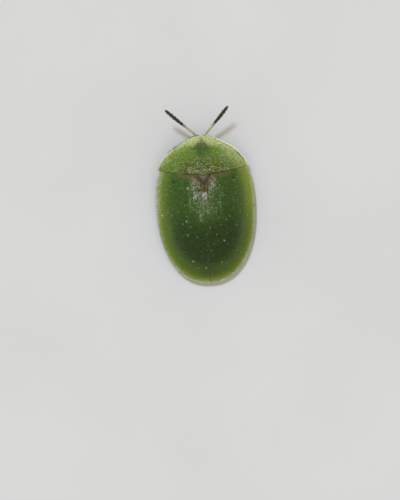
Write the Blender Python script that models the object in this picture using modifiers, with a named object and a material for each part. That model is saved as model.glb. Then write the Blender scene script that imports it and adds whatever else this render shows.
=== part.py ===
"""A thistle tortoise beetle at life size, standing on its six feet with its feelers out.

The shield of pronotum and wing cases is one domed surface over an oval outline, parted at its
seams. The head, thorax, abdomen and legs lie under it. Lengths are in metres, +Z is up and the
head faces -Y, so the beetle's left side is at +X. "Ahead" is the distance towards the head from
the middle of the body, and "side" the distance from its midline.
"""

import math

import bmesh
import bpy
from mathutils import Vector

MM = 0.001

# Shield: an oval whose widest line lies a little ahead of the middle, under a flared dome.
BODY_LENGTH = 7.5 * MM
BODY_WIDTH = 5.0 * MM
WIDEST_AHEAD = 0.3 * MM
OVAL_POWER = 2.25
DOME_HEIGHT = 1.86 * MM
DOME_ROUNDNESS = 2.85
DOME_REAR_ROUNDNESS = 0.2
DOME_FLARE = 1.65
RIM_HEIGHT = 0.66 * MM
FRONT_RIM_LIFT = 0.60 * MM
PLATE_THICKNESS = 0.44 * MM
RIM_THICKNESS = 0.20 * MM
RIM_TAPER_SHARE = 0.55
GROOVE_PLACE = 0.79
GROOVE_DEPTH = 0.05 * MM
GROOVE_SPREAD = 0.05
SLOPE_STEP = 0.01 * MM

# Clearances: hidden roots keep the wide one, and plates that meet in view keep the narrow one.
GAP = 0.22 * MM
SEAM = 0.12 * MM

# Hind edge of the pronotum: a middle lobe, then a curve that runs forward to the corners.
BASE_AHEAD = 1.68 * MM
LOBE_DEPTH = 0.10 * MM
LOBE_HALF_WIDTH = 0.45 * MM
CORNER_RISE = 0.29 * MM
CORNER_HALF_WIDTH = 2.2 * MM
CORNER_POWER = 2.6
FRONT_CORNER_ANGLE = math.radians(48)

# Bend of the pronotum: its front is drawn in beside the head, and its hind corners stand out.
NECK_HOLD = 0.08 * MM
NECK_CUT = 0.11 * MM
NECK_CUT_SIDE = 1.08 * MM
NECK_CUT_SPREAD = 0.50 * MM
NECK_CUT_START = 2.2 * MM
NECK_CUT_RUN = 1.1 * MM
NECK_BULGE = 0.035
NECK_BULGE_AHEAD = 2.3 * MM
NECK_BULGE_SPREAD = 0.4 * MM

SCUTELLUM_HALF_WIDTH = 0.25 * MM
SCUTELLUM_LENGTH = 0.32 * MM
SCUTELLUM_TIP_HALF_WIDTH = 0.04 * MM
APEX_HALF_WIDTH = 0.30 * MM
NOTCH_SHARE = 0.22

# Trunk: cross sections between a belly and the underside of the shield, each with the half
# width of its flat keel. A waist is the width at the front end against the full one, and the
# trunk is only as wide as leaves its edge some thickness.
TRUNK_EDGE = 0.12 * MM
TRUNK_LEAST_HALF_WIDTH = 0.30 * MM
TRUNK_WIDTH_STEP = 0.01 * MM
TRUNK_SIDE_POWER = 0.75
TRUNK_TOP_POWER = 0.5
KEEL_HEIGHT = 0.64 * MM
BELLY_RISE = 0.36 * MM
BELLY_SHOULDER = 0.55 * MM
PROTHORAX_AHEAD = (2.34 * MM, 1.62 * MM)
PROTHORAX_HALF_WIDTH = 0.95 * MM
PROTHORAX_WAIST = 0.86
PROTHORAX_KEEL = 0.10 * MM
THORAX_AHEAD = (1.50 * MM, -0.14 * MM)
THORAX_HALF_WIDTH = 1.46 * MM
THORAX_WAIST = 0.86
THORAX_KEEL = 0.38 * MM
ABDOMEN_AHEAD = (-0.26 * MM, -2.62 * MM)
ABDOMEN_HALF_WIDTH = 1.66 * MM
ABDOMEN_KEEL = 0.45 * MM
ABDOMEN_REAR_RISE = 0.06 * MM
ABDOMEN_RISE_SHARE = 0.40
ABDOMEN_DROP = 0.12 * MM
VENTRITE_SHARES = (0.0, 0.34, 0.50, 0.65, 0.80, 1.0)
VENTRITE_STEP = 0.05 * MM
VENTRITE_FADE = 6

# Head, tucked under the front of the pronotum with its face turned down: ahead and height of
# its centres, and half sizes as side, ahead and height.
HEAD_CENTRE = (2.84 * MM, 0.76 * MM)
HEAD_HALF_SIZE = (0.58 * MM, 0.36 * MM, 0.34 * MM)
FACE_SLOPE = 0.55
EYE_CENTRE = (2.88 * MM, 0.80 * MM)
EYE_HALF_SIZE = (0.17 * MM, 0.20 * MM, 0.26 * MM)
EYE_SOCKET_SIDE = 0.40 * MM
MOUTH_DROP = 0.92
LABRUM_HALF_SIZE = (0.22 * MM, 0.13 * MM, 0.12 * MM)
PALP_ROOT = (0.12 * MM, 0.05 * MM)
PALP_REACH = (0.10 * MM, 0.12 * MM, -0.13 * MM)
PALP_SHAPE = ((0.0, 0.070 * MM), (0.6, 0.070 * MM), (0.75, 0.056 * MM), (1.0, 0.035 * MM))

# Feelers: eleven joints that thicken into a club. A joint's shape is a share of its length and
# of its radius, and the last joint narrows towards its tip.
ANTENNA_JOINTS = 11
ANTENNA_STEM_RADIUS = 0.20 * MM
ANTENNA_CLUB_RADIUS = 0.26 * MM
ANTENNA_TIP_RADIUS = 0.07 * MM
CLUB_START = 4
CLUB_RUN = 3
JOINT_SHAPE = ((0.0, 0.84), (0.22, 0.95), (0.60, 1.0), (0.90, 0.95))
LAST_JOINT_TAPER = 0.45
ROUTE_STEPS = 12
ANTENNA_ROUTE = (
    (0.20 * MM, 3.34 * MM, 0.62 * MM),
    (0.28 * MM, 3.68 * MM, 0.60 * MM),
    (0.66 * MM, 4.14 * MM, 0.80 * MM),
    (1.12 * MM, 4.62 * MM, 1.06 * MM),
    (1.56 * MM, 5.08 * MM, 1.30 * MM),
)

# Legs: hip, knee, ankle and toe of each pair, as side, ahead and height in millimetres. The
# thigh and the shin are shares of their length with the radius there, and the pads are shares
# of the foot's length with the half width there.
LEG_PAIRS = {
    "front": ((0.62, 1.92, 0.60), (1.24, 2.20, 0.62), (1.50, 2.42, 0.27), (1.46, 2.96, 0.14)),
    "mid": ((0.98, 1.04, 0.60), (1.62, 1.00, 0.62), (1.96, 0.86, 0.27), (2.16, 0.40, 0.14)),
    "hind": ((0.98, -0.02, 0.60), (1.56, -0.62, 0.60), (1.80, -1.06, 0.27), (1.84, -1.62, 0.14)),
}
THIGH_SHAPE = (
    (-0.10, 0.19 * MM),
    (0.06, 0.23 * MM),
    (0.24, 0.20 * MM),
    (0.56, 0.25 * MM),
    (0.88, 0.22 * MM),
)
SHIN_SHAPE = ((0.06, 0.19 * MM), (0.50, 0.21 * MM), (1.0, 0.20 * MM))
PAD_SHAPE = ((0.16, 0.20 * MM), (0.42, 0.21 * MM), (0.68, 0.25 * MM))
PAD_HALF_LENGTH = 0.21 * MM
PAD_HALF_HEIGHT = 0.15 * MM
PAD_LIFT = 0.11 * MM
CLAW_SHAPE = ((0.55, 0.090 * MM), (0.80, 0.096 * MM), (1.0, 0.060 * MM))

WELD = 1e-7
SHARP_ANGLE = math.radians(50)


def clear_scene():
    """Starts from an empty scene."""
    for obj in list(bpy.data.objects):
        bpy.data.objects.remove(obj)


def material(name, colour, roughness):
    """A plain Principled material."""
    made = bpy.data.materials.new(name)
    made.use_nodes = True
    shader = made.node_tree.nodes["Principled BSDF"]
    shader.inputs["Base Color"].default_value = (*colour, 1.0)
    shader.inputs["Roughness"].default_value = roughness
    return made


def smooth(value):
    """Runs smoothly from 0 to 1 as value does, and stays there outside that range."""
    t = min(1.0, max(0.0, value))
    return t * t * (3 - 2 * t)


def mix(start, end, share):
    """The number at this share of the way from start to end."""
    return start + (end - start) * share


def between(start, end, share):
    """The point at this share of the way from start to end."""
    return tuple(mix(a, b, share) for a, b in zip(start, end))


def half_length(ahead):
    """From the widest line to the front or hind end of the shield."""
    end = BODY_LENGTH / 2
    return end - WIDEST_AHEAD if ahead > WIDEST_AHEAD else end + WIDEST_AHEAD


def oval_share(side, ahead):
    """0 at the middle of the shield and 1 on its outline."""
    across = abs(side) / (BODY_WIDTH / 2)
    along = abs(ahead - WIDEST_AHEAD) / half_length(ahead)
    return (across**OVAL_POWER + along**OVAL_POWER) ** (1 / OVAL_POWER)


def outline_point(angle):
    """A point (side, ahead) of the outline: 0 is the widest side, a quarter turn the front."""
    reach = 2 / OVAL_POWER
    ahead = math.copysign(abs(math.sin(angle)) ** reach, math.sin(angle))
    side = (BODY_WIDTH / 2) * max(0.0, math.cos(angle)) ** reach
    return side, WIDEST_AHEAD + ahead * half_length(WIDEST_AHEAD + ahead)


def rim_height(ahead):
    """Height of the shield's upper edge, which arches up over the head."""
    forward = max(0.0, ahead) / (BODY_LENGTH / 2)
    return RIM_HEIGHT + FRONT_RIM_LIFT * forward**2


def shield_height(side, ahead):
    """Height of the shield's upper surface, with the groove inside its flared margin."""
    share = min(1.0, oval_share(side, ahead))
    reach = max(WELD, math.hypot(side, ahead - WIDEST_AHEAD))
    behind = max(0.0, WIDEST_AHEAD - ahead) / reach
    roundness = DOME_ROUNDNESS + DOME_REAR_ROUNDNESS * behind**2
    dome = DOME_HEIGHT * (1 - share**roundness) ** DOME_FLARE
    groove = GROOVE_DEPTH * math.exp(-(((share - GROOVE_PLACE) / GROOVE_SPREAD) ** 2))
    return rim_height(ahead) + dome - groove


def plate_thickness(side, ahead):
    """Thickness of the shield, which thins towards its edge."""
    inward = 1 - oval_share(side, ahead)
    return mix(RIM_THICKNESS, PLATE_THICKNESS, smooth(inward / RIM_TAPER_SHARE))


def roof_height(side, ahead):
    """Highest that the trunk may reach under the shield, measured square to its slope."""
    height = shield_height(side, ahead)
    across = (shield_height(side + SLOPE_STEP, ahead) - height) / SLOPE_STEP
    along = (shield_height(side, ahead + SLOPE_STEP) - height) / SLOPE_STEP
    return height - (plate_thickness(side, ahead) + GAP) * math.sqrt(1 + across**2 + along**2)


def base_line(side):
    """Middle of the seam between the pronotum and the wing cases, as a distance ahead."""
    lobe = LOBE_DEPTH * smooth(abs(side) / LOBE_HALF_WIDTH)
    return BASE_AHEAD + lobe + CORNER_RISE * (abs(side) / CORNER_HALF_WIDTH) ** CORNER_POWER


def corner_angle(offset):
    """Where on the outline the seam line, moved ahead by offset, comes out."""
    low, high = 0.0, math.pi / 2
    while high - low > WELD:
        middle = (low + high) / 2
        side, ahead = outline_point(middle)
        if ahead > base_line(side) + offset:
            high = middle
        else:
            low = middle
    return low


def patch(base, top, inner, outer):
    """A surface map over four edges: base and top run with u, inner and outer with v."""
    corners = inner(0), outer(0), inner(1), outer(1)

    def place(u, v):
        ruled = between(base(u), top(u), v)
        crossed = between(inner(v), outer(v), u)
        near = between(corners[0], corners[1], u)
        far = between(corners[2], corners[3], u)
        twice = between(near, far, v)
        return tuple(a + b - c for a, b, c in zip(ruled, crossed, twice))

    return place


def neck_bend(side, ahead):
    """Draws the pronotum's front in beside the head, and its hind corners out."""
    hold = smooth((ahead - base_line(side)) / NECK_HOLD)
    cut = NECK_CUT * math.exp(-(((abs(side) - NECK_CUT_SIDE) / NECK_CUT_SPREAD) ** 2))
    front = smooth((ahead - NECK_CUT_START) / NECK_CUT_RUN)
    bulge = NECK_BULGE * math.exp(-(((ahead - NECK_BULGE_AHEAD) / NECK_BULGE_SPREAD) ** 2))
    return side * (1 + hold * bulge), ahead - hold * cut * front


def mesh_object(name, bm, collection, finish):
    """Turns the bmesh into a named object."""
    mesh = bpy.data.meshes.new(name)
    bm.to_mesh(mesh)
    bm.free()
    obj = bpy.data.objects.new(name, mesh)
    if finish:
        mesh.materials.append(finish)
    collection.objects.link(obj)
    mesh.shade_smooth()
    mesh.set_sharp_from_angle(angle=SHARP_ANGLE)
    return obj


def plate(name, place, grid, side_sign, collection, finish):
    """A curved plate of the shield: a grid laid on the dome, with its thickness as weights."""
    bm = bmesh.new()
    bmesh.ops.create_grid(bm, x_segments=grid[0], y_segments=grid[1], size=0.5)
    thick = []
    for vert in bm.verts:
        side, ahead = place(vert.co.x + 0.5, vert.co.y + 0.5)
        thick.append(plate_thickness(side, ahead) / PLATE_THICKNESS)
        vert.co = (side_sign * side, -ahead, shield_height(side, ahead))
    bm.normal_update()
    if sum(face.normal.z for face in bm.faces) < 0:
        bmesh.ops.reverse_faces(bm, faces=bm.faces)
    obj = mesh_object(name, bm, collection, finish)
    group = obj.vertex_groups.new(name="thickness")
    for index, weight in enumerate(thick):
        group.add([index], weight, "REPLACE")
    return obj


def solidify(obj):
    """Gives a plate its thickness, downwards from the shield's upper surface."""
    solid = obj.modifiers.new("Thickness", "SOLIDIFY")
    solid.thickness = PLATE_THICKNESS
    solid.offset = -1
    solid.vertex_group = "thickness"
    return obj


def make_pronotum(collection, finish):
    """The neck shield, mirrored from its left half."""
    corner = corner_angle(SEAM / 2)
    corner_side = outline_point(corner)[0]

    def hind(u):
        side = corner_side * u
        return side, base_line(side) + SEAM / 2

    def front(u):
        return outline_point(mix(math.pi / 2, FRONT_CORNER_ANGLE, u))

    def middle(v):
        return 0.0, mix(base_line(0) + SEAM / 2, BODY_LENGTH / 2, v)

    def lateral(v):
        return outline_point(mix(corner, FRONT_CORNER_ANGLE, v))

    flat = patch(hind, front, middle, lateral)

    def place(u, v):
        return neck_bend(*flat(u, v))

    obj = plate("pronotum", place, (13, 12), 1, collection, finish)
    mirror = obj.modifiers.new("Mirror", "MIRROR")
    mirror.use_axis = (True, False, False)
    mirror.merge_threshold = WELD
    return solidify(obj)


def scutellum_tip():
    """How far ahead the scutellum's hind tip lies."""
    return base_line(0) - SEAM / 2 - SCUTELLUM_LENGTH


def make_scutellum(collection, finish):
    """The small triangle between the wing cases, behind the pronotum's lobe."""

    def hind(u):
        return mix(-SCUTELLUM_TIP_HALF_WIDTH, SCUTELLUM_TIP_HALF_WIDTH, u), scutellum_tip()

    def front(u):
        side = mix(-SCUTELLUM_HALF_WIDTH, SCUTELLUM_HALF_WIDTH, u)
        return side, base_line(side) - SEAM / 2

    def right(v):
        return between(hind(0), front(0), v)

    def left(v):
        return between(hind(1), front(1), v)

    obj = plate("scutellum", patch(hind, front, right, left), (6, 5), 1, collection, finish)
    return solidify(obj)


def make_elytron(name, side_sign, collection, finish):
    """One wing case, from the seam behind the pronotum to the hind tip."""
    shoulder = corner_angle(-SEAM / 2)
    shoulder_side = outline_point(shoulder)[0]
    apex_angle = -math.acos((APEX_HALF_WIDTH / (BODY_WIDTH / 2)) ** (OVAL_POWER / 2))
    apex_inner = (SEAM / 2, -BODY_LENGTH / 2)
    tip = (SEAM / 2, scutellum_tip() - SEAM / 2)
    notch_side = SCUTELLUM_HALF_WIDTH + SEAM
    notch = (notch_side, base_line(notch_side) - SEAM / 2)

    def base(u):
        if u < NOTCH_SHARE:
            return between(tip, notch, u / NOTCH_SHARE)
        side = mix(notch_side, shoulder_side, (u - NOTCH_SHARE) / (1 - NOTCH_SHARE))
        return side, base_line(side) - SEAM / 2

    def apex(u):
        return between(apex_inner, outline_point(apex_angle), u)

    def suture(v):
        return between(tip, apex_inner, v)

    def margin(v):
        return outline_point(mix(shoulder, apex_angle, v))

    place = patch(base, apex, suture, margin)
    return solidify(plate(name, place, (15, 22), side_sign, collection, finish))


def sleeve(name, section, grid, collection, finish):
    """A closed body through cross sections: section(turn, along) gives each point."""
    bm = bmesh.new()
    bmesh.ops.create_grid(bm, x_segments=grid[0], y_segments=grid[1], size=0.5)
    for vert in bm.verts:
        vert.co = section((vert.co.x + 0.5) * math.tau, vert.co.y + 0.5)
    bmesh.ops.remove_doubles(bm, verts=bm.verts, dist=WELD)
    open_edges = [edge for edge in bm.edges if edge.is_boundary]
    bmesh.ops.holes_fill(bm, edges=open_edges)
    bmesh.ops.recalc_face_normals(bm, faces=bm.faces)
    return mesh_object(name, bm, collection, finish)


def belly_height(side, keel, rise=BELLY_RISE):
    """Underside of the trunk, which rises from its middle to clear the legs."""
    return KEEL_HEIGHT + rise * smooth((abs(side) - keel) / BELLY_SHOULDER)


def signed_power(value, power):
    """The value's size to a power, with its sign kept."""
    return math.copysign(abs(value) ** power, value)


def trunk_point(turn, ahead, half_width, belly):
    """A point of a cross section that fills the space between belly and shield."""
    limit = half_width
    while limit > TRUNK_LEAST_HALF_WIDTH and roof_height(limit, ahead) < belly(limit) + TRUNK_EDGE:
        limit -= TRUNK_WIDTH_STEP
    side = limit * signed_power(math.cos(turn), TRUNK_SIDE_POWER)
    share = (1 + signed_power(math.sin(turn), TRUNK_TOP_POWER)) / 2
    return Vector((side, -ahead, mix(belly(side), roof_height(side, ahead), share)))


def ventrite_dip(along):
    """How far the belly hangs here: each ring steps down to its hind edge."""
    rings = zip(VENTRITE_SHARES, VENTRITE_SHARES[1:])
    start, end = next(ring for ring in rings if along <= ring[1] or ring[1] == 1.0)
    step = (along - start) / (end - start)
    return VENTRITE_STEP * step * smooth((1 - along) * VENTRITE_FADE) + ABDOMEN_DROP * along**2


def make_trunk(collection, finish):
    """Prothorax, thorax and abdomen."""

    def prothorax(turn, along):
        width = PROTHORAX_HALF_WIDTH * mix(PROTHORAX_WAIST, 1, math.sin(math.pi * along))
        ahead = mix(*PROTHORAX_AHEAD, along)
        return trunk_point(turn, ahead, width, lambda side: belly_height(side, PROTHORAX_KEEL))

    def thorax(turn, along):
        width = THORAX_HALF_WIDTH * mix(THORAX_WAIST, 1, smooth(along * 2))
        ahead = mix(*THORAX_AHEAD, along)
        return trunk_point(turn, ahead, width, lambda side: belly_height(side, THORAX_KEEL))

    def abdomen(turn, along):
        rise = mix(BELLY_RISE, ABDOMEN_REAR_RISE, smooth(along / ABDOMEN_RISE_SHARE))
        ahead = mix(*ABDOMEN_AHEAD, along)

        def belly(side):
            return belly_height(side, ABDOMEN_KEEL, rise) - ventrite_dip(along)

        return trunk_point(turn, ahead, ABDOMEN_HALF_WIDTH, belly)

    return [
        sleeve("prothorax", prothorax, (20, 5), collection, finish),
        sleeve("thorax", thorax, (24, 8), collection, finish),
        sleeve("abdomen", abdomen, (24, 20), collection, finish),
    ]


def ball(name, centre, half_size, grid, collection, finish, shape):
    """A rounded piece: a sphere given three half sizes, then bent by shape."""
    bm = bmesh.new()
    bmesh.ops.create_uvsphere(bm, u_segments=grid[0], v_segments=grid[1], radius=1)
    for vert in bm.verts:
        local = Vector(a * b for a, b in zip(vert.co, half_size))
        vert.co = shape(local) + centre
    bmesh.ops.recalc_face_normals(bm, faces=bm.faces)
    return mesh_object(name, bm, collection, finish)


def tube(name, points, radii, collection, finish, resolution=2):
    """A closed tube of changing thickness through points, as a mesh."""
    curve = bpy.data.curves.new(name, "CURVE")
    curve.dimensions = "3D"
    curve.bevel_depth = 1.0
    curve.bevel_resolution = resolution
    curve.use_fill_caps = True
    spline = curve.splines.new("POLY")
    spline.points.add(len(points) - 1)
    for point, place, radius in zip(spline.points, points, radii):
        point.co = (*place, 1)
        point.radius = radius
    guide = bpy.data.objects.new(name + "_curve", curve)
    collection.objects.link(guide)
    graph = bpy.context.evaluated_depsgraph_get()
    mesh = bpy.data.meshes.new_from_object(guide.evaluated_get(graph))
    bm = bmesh.new()
    bm.from_mesh(mesh)
    bmesh.ops.remove_doubles(bm, verts=bm.verts, dist=WELD)
    bmesh.ops.recalc_face_normals(bm, faces=bm.faces)
    obj = mesh_object(name, bm, collection, finish)
    obj.matrix_world = guide.matrix_world
    bpy.data.objects.remove(guide)
    return obj


def unite(base, extra):
    """Joins the closed pieces in the collection extra to base."""
    union = base.modifiers.new("Union", "BOOLEAN")
    union.operation = "UNION"
    union.operand_type = "COLLECTION"
    union.collection = extra
    union.solver = "EXACT"
    graph = bpy.context.evaluated_depsgraph_get()
    joined = bpy.data.meshes.new_from_object(base.evaluated_get(graph))
    base.modifiers.remove(union)
    base.data = joined
    for obj in list(extra.objects):
        bpy.data.objects.remove(obj)
    bpy.data.collections.remove(extra)


def extra_collection(name):
    """A collection for pieces that are joined to another one."""
    extra = bpy.data.collections.new(name)
    bpy.context.scene.collection.children.link(extra)
    return extra


def sloped(local):
    """Leans a piece of the head, so that the face looks down and forward."""
    return Vector((local.x, local.y - FACE_SLOPE * local.z, local.z))


def make_head(collection, finish):
    """The head with its upper lip and palps, and a flat on each side for its eye."""
    centre = Vector((0, -HEAD_CENTRE[0], HEAD_CENTRE[1]))

    def face(local):
        side = max(-EYE_SOCKET_SIDE, min(EYE_SOCKET_SIDE, local.x))
        return sloped(Vector((side, local.y, local.z)))

    head = ball("head", centre, HEAD_HALF_SIZE, (20, 12), collection, finish, face)
    mouth = extra_collection("mouth")
    low = centre + sloped(Vector((0, 0, -HEAD_HALF_SIZE[2] * MOUTH_DROP)))
    ball("labrum", low, LABRUM_HALF_SIZE, (14, 8), mouth, finish, Vector)
    for sign in (1, -1):
        root = low + Vector((sign * PALP_ROOT[0], PALP_ROOT[1], 0))
        tip = root + Vector((sign * PALP_REACH[0], PALP_REACH[1], PALP_REACH[2]))
        route = [root.lerp(tip, share) for share, _ in PALP_SHAPE]
        radii = [radius for _, radius in PALP_SHAPE]
        tube(f"palp_{sign}", route, radii, mouth, finish, 1)
    unite(head, mouth)
    return head


def make_eye(name, sign, collection, finish):
    """One eye: a half ball, flat towards the head."""
    centre = Vector((sign * (EYE_SOCKET_SIDE + SEAM), -EYE_CENTRE[0], EYE_CENTRE[1]))

    def cap(local):
        return sloped(Vector((sign * max(0.0, sign * local.x), local.y, local.z)))

    return ball(name, centre, EYE_HALF_SIZE, (14, 10), collection, finish, cap)


def smooth_route(knots):
    """Points on a smooth curve through the knots."""
    padded = [2 * knots[0] - knots[1], *knots, 2 * knots[-1] - knots[-2]]
    route = []
    for before, start, end, after in zip(padded, padded[1:], padded[2:], padded[3:]):
        for step in range(ROUTE_STEPS):
            t = step / ROUTE_STEPS
            bend = (2 * before - 5 * start + 4 * end - after) * t**2
            twist = (3 * start - before - 3 * end + after) * t**3
            route.append((2 * start + (end - before) * t + bend + twist) / 2)
    route.append(knots[-1])
    return route


def make_antenna(name, sign, collection, finish):
    """A feeler of beaded joints that thicken into a pointed club."""
    knots = [Vector((sign * side, -ahead, height)) for side, ahead, height in ANTENNA_ROUTE]
    route = smooth_route(knots)
    per_joint = (len(route) - 1) / ANTENNA_JOINTS
    points, radii = [], []
    for joint in range(ANTENNA_JOINTS):
        club = smooth((joint - CLUB_START) / CLUB_RUN)
        body = mix(ANTENNA_STEM_RADIUS, ANTENNA_CLUB_RADIUS, club)
        taper = LAST_JOINT_TAPER if joint == ANTENNA_JOINTS - 1 else 0
        for share, width in JOINT_SHAPE:
            place = (joint + share) * per_joint
            low = int(place)
            points.append(route[low].lerp(route[low + 1], place - low))
            radii.append(body * width * (1 - taper * share))
    points.append(route[-1])
    radii.append(ANTENNA_TIP_RADIUS)
    return tube(name, points, radii, collection, finish)


def trim_at_floor(obj):
    """Cuts off what reaches below the floor and closes the flat sole."""
    bm = bmesh.new()
    bm.from_mesh(obj.data)
    bmesh.ops.bisect_plane(
        bm,
        geom=[*bm.verts, *bm.edges, *bm.faces],
        dist=WELD / 10,
        plane_co=(0, 0, 0),
        plane_no=(0, 0, 1),
        clear_inner=True,
    )
    open_edges = [edge for edge in bm.edges if edge.is_boundary]
    bmesh.ops.holes_fill(bm, edges=open_edges)
    bm.to_mesh(obj.data)
    bm.free()


def make_leg(name, pair, sign, collection, finish):
    """Hip, thigh, shin and a padded foot whose soles lie flat on the floor."""
    joints = LEG_PAIRS[pair]
    hip, knee, ankle, toe = (
        Vector((sign * side, -ahead, height)) * MM for side, ahead, height in joints
    )
    tread = toe - ankle
    points = [hip + (knee - hip) * share for share, _ in THIGH_SHAPE]
    points += [knee + (ankle - knee) * share for share, _ in SHIN_SHAPE]
    radii = [radius for _, radius in THIGH_SHAPE + SHIN_SHAPE]
    leg = tube(name, points, radii, collection, finish, 3)

    def turned(local):
        forward = Vector((tread.x, tread.y, 0)).normalized()
        sideways = Vector((-forward.y, forward.x, 0))
        return forward * local.x + sideways * local.y + Vector((0, 0, local.z))

    foot = extra_collection(name + "_foot")
    for share, half_width in PAD_SHAPE:
        centre = ankle + tread * share
        centre.z = PAD_LIFT
        size = (PAD_HALF_LENGTH, half_width, PAD_HALF_HEIGHT)
        ball(f"{name}_pad", centre, size, (12, 8), foot, finish, turned)
    claw_points = [ankle + tread * share for share, _ in CLAW_SHAPE]
    claw_radii = [radius for _, radius in CLAW_SHAPE]
    tube(name + "_claw", claw_points, claw_radii, foot, finish)
    unite(leg, foot)
    trim_at_floor(leg)
    return leg


def centre_on_origin(stand, made):
    """Moves the beetle so that the middle of its length stands over the origin."""
    graph = bpy.context.evaluated_depsgraph_get()
    along = [corner[1] for obj in made for corner in obj.evaluated_get(graph).bound_box]
    stand.location.y = -(min(along) + max(along)) / 2


def build():
    """Makes every part of the beetle under one empty."""
    clear_scene()
    parts = bpy.data.collections.new("tortoise_beetle")
    bpy.context.scene.collection.children.link(parts)
    elytron_green = material("elytron_green", (0.07, 0.17, 0.04), 0.35)
    eye_black = material("eye_black", (0.01, 0.01, 0.01), 0.15)
    leg_green = material("leg_green", (0.45, 0.45, 0.15), 0.4)
    antenna_dark = material("antenna_dark", (0.05, 0.045, 0.03), 0.5)
    made = [
        make_pronotum(parts, material("pronotum_green", (0.24, 0.36, 0.09), 0.35)),
        make_scutellum(parts, material("scutellum_brown", (0.30, 0.18, 0.12), 0.4)),
        *make_trunk(parts, material("underside_dark", (0.03, 0.035, 0.02), 0.4)),
        make_head(parts, material("head_dark", (0.05, 0.06, 0.03), 0.4)),
    ]
    for word, sign in (("left", 1), ("right", -1)):
        made.append(make_elytron(f"elytron_{word}", sign, parts, elytron_green))
        made.append(make_eye(f"eye_{word}", sign, parts, eye_black))
        made.append(make_antenna(f"antenna_{word}", sign, parts, antenna_dark))
        for pair in LEG_PAIRS:
            made.append(make_leg(f"leg_{pair}_{word}", pair, sign, parts, leg_green))
    stand = bpy.data.objects.new("beetle", None)
    parts.objects.link(stand)
    for obj in made:
        obj.parent = stand
    centre_on_origin(stand, made)


build()
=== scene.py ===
"""Looks of a thistle tortoise beetle that stands on a pale floor, seen from straight above.

Lengths are in metres unless a comment says millimetres. +Z is up and the head faces -Y, so the
beetle's left side is at +X. "Ahead" is the distance towards the head from the middle of the
body, and "side" the distance from its midline, positive on the beetle's left. The shield
follows the construction's own formulas on finer grids. Colours are shades from 0 to 255, as
they show in daylight.
"""

import math

import bmesh
import bpy
import numpy as np
from mathutils import Matrix, Vector


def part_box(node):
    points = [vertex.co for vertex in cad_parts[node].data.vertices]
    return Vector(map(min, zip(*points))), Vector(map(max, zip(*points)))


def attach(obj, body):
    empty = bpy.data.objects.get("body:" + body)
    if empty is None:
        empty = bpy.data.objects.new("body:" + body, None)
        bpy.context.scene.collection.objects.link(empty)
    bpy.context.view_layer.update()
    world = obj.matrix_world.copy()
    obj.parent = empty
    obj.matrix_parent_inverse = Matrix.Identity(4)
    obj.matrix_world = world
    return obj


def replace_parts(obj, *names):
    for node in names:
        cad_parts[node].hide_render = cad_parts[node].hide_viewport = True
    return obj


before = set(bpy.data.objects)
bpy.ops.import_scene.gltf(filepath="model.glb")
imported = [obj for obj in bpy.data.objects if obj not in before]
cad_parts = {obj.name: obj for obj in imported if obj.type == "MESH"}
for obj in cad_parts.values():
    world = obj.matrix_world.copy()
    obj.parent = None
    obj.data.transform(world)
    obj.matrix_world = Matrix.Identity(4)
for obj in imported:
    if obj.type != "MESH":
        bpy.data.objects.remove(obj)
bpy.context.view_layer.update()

MM = 0.001
UP = Vector((0, 0, 1))
SIDES = (("left", 1), ("right", -1))

# Shield: the construction's sizes, with its length and width read from its parts.
BODY_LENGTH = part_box("elytron_left")[1].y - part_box("pronotum")[0].y
BODY_WIDTH = 2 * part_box("elytron_left")[1].x
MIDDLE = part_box("pronotum")[0].y + BODY_LENGTH / 2
WIDEST_AHEAD = 0.3 * MM
OVAL_POWER = 2.25
DOME_HEIGHT = 1.86 * MM
DOME_ROUNDNESS = 2.85
DOME_REAR_ROUNDNESS = 0.2
DOME_FLARE = 1.65
RIM_HEIGHT = 0.66 * MM
FRONT_RIM_LIFT = 0.60 * MM
GROOVE_PLACE = 0.79
GROOVE_DEPTH = 0.05 * MM
GROOVE_SPREAD = 0.05
MARGIN_START = 0.76
MARGIN_DROP = 0.28 * MM
REAR_MARGIN_DROP = 0.10 * MM
BASE_AHEAD = 1.68 * MM
LOBE_DEPTH = 0.10 * MM
LOBE_HALF_WIDTH = 0.45 * MM
CORNER_RISE = 0.29 * MM
CORNER_HALF_WIDTH = 2.2 * MM
CORNER_POWER = 2.6
FRONT_CORNER_ANGLE = math.radians(48)
SCUTELLUM_HALF_WIDTH = 0.35 * MM
SCUTELLUM_LENGTH = 0.38 * MM
SCUTELLUM_TIP_HALF_WIDTH = 0.015 * MM
APEX_HALF_WIDTH = 0.30 * MM
NOTCH_SHARE = 0.14
SLOPE_STEP = 0.01 * MM
LEAST_REACH = 1e-7
FINE_ANGLE = 1e-7

# Real plates are thinner than the construction's, and meet in finer seams.
NECK_HOLD = 0.08 * MM
NECK_CUT = 0.11 * MM
NECK_CUT_SIDE = 1.08 * MM
NECK_CUT_SPREAD = 0.50 * MM
NECK_CUT_START = 2.2 * MM
NECK_CUT_RUN = 1.1 * MM
NECK_BULGE = 0.035
NECK_BULGE_AHEAD = 2.3 * MM
NECK_BULGE_SPREAD = 0.4 * MM
SEAM = 0.004 * MM
DISC_THICKNESS = 0.10 * MM
EDGE_THICKNESS = 0.06 * MM
EDGE_TAPER = 0.5 * MM
EDGE_LEAST = 0.45
EDGE_ROUNDING = 0.012 * MM
SKIN_INSET = 0.022 * MM

# Columns and rows of the plates' grids, which crowd towards the edges.
PRONOTUM_GRID = (251, 133)
SCUTELLUM_GRID = (33, 29)
ELYTRON_GRID = (139, 317)
GRID_CROWDING = 0.30


def smooth(value):
    """Runs smoothly from 0 to 1 as value does, and stays there outside that range."""
    t = np.clip(value, 0.0, 1.0)
    return t * t * (3 - 2 * t)


def rise(value, start, run):
    """0 at the start and 1 a run further on. A negative run leads the other way."""
    return smooth((value - start) / run)


def bump(value, centre, spread):
    """1 at the centre, fading to both sides over the spread."""
    return np.exp(-(((value - centre) / spread) ** 2))


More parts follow.
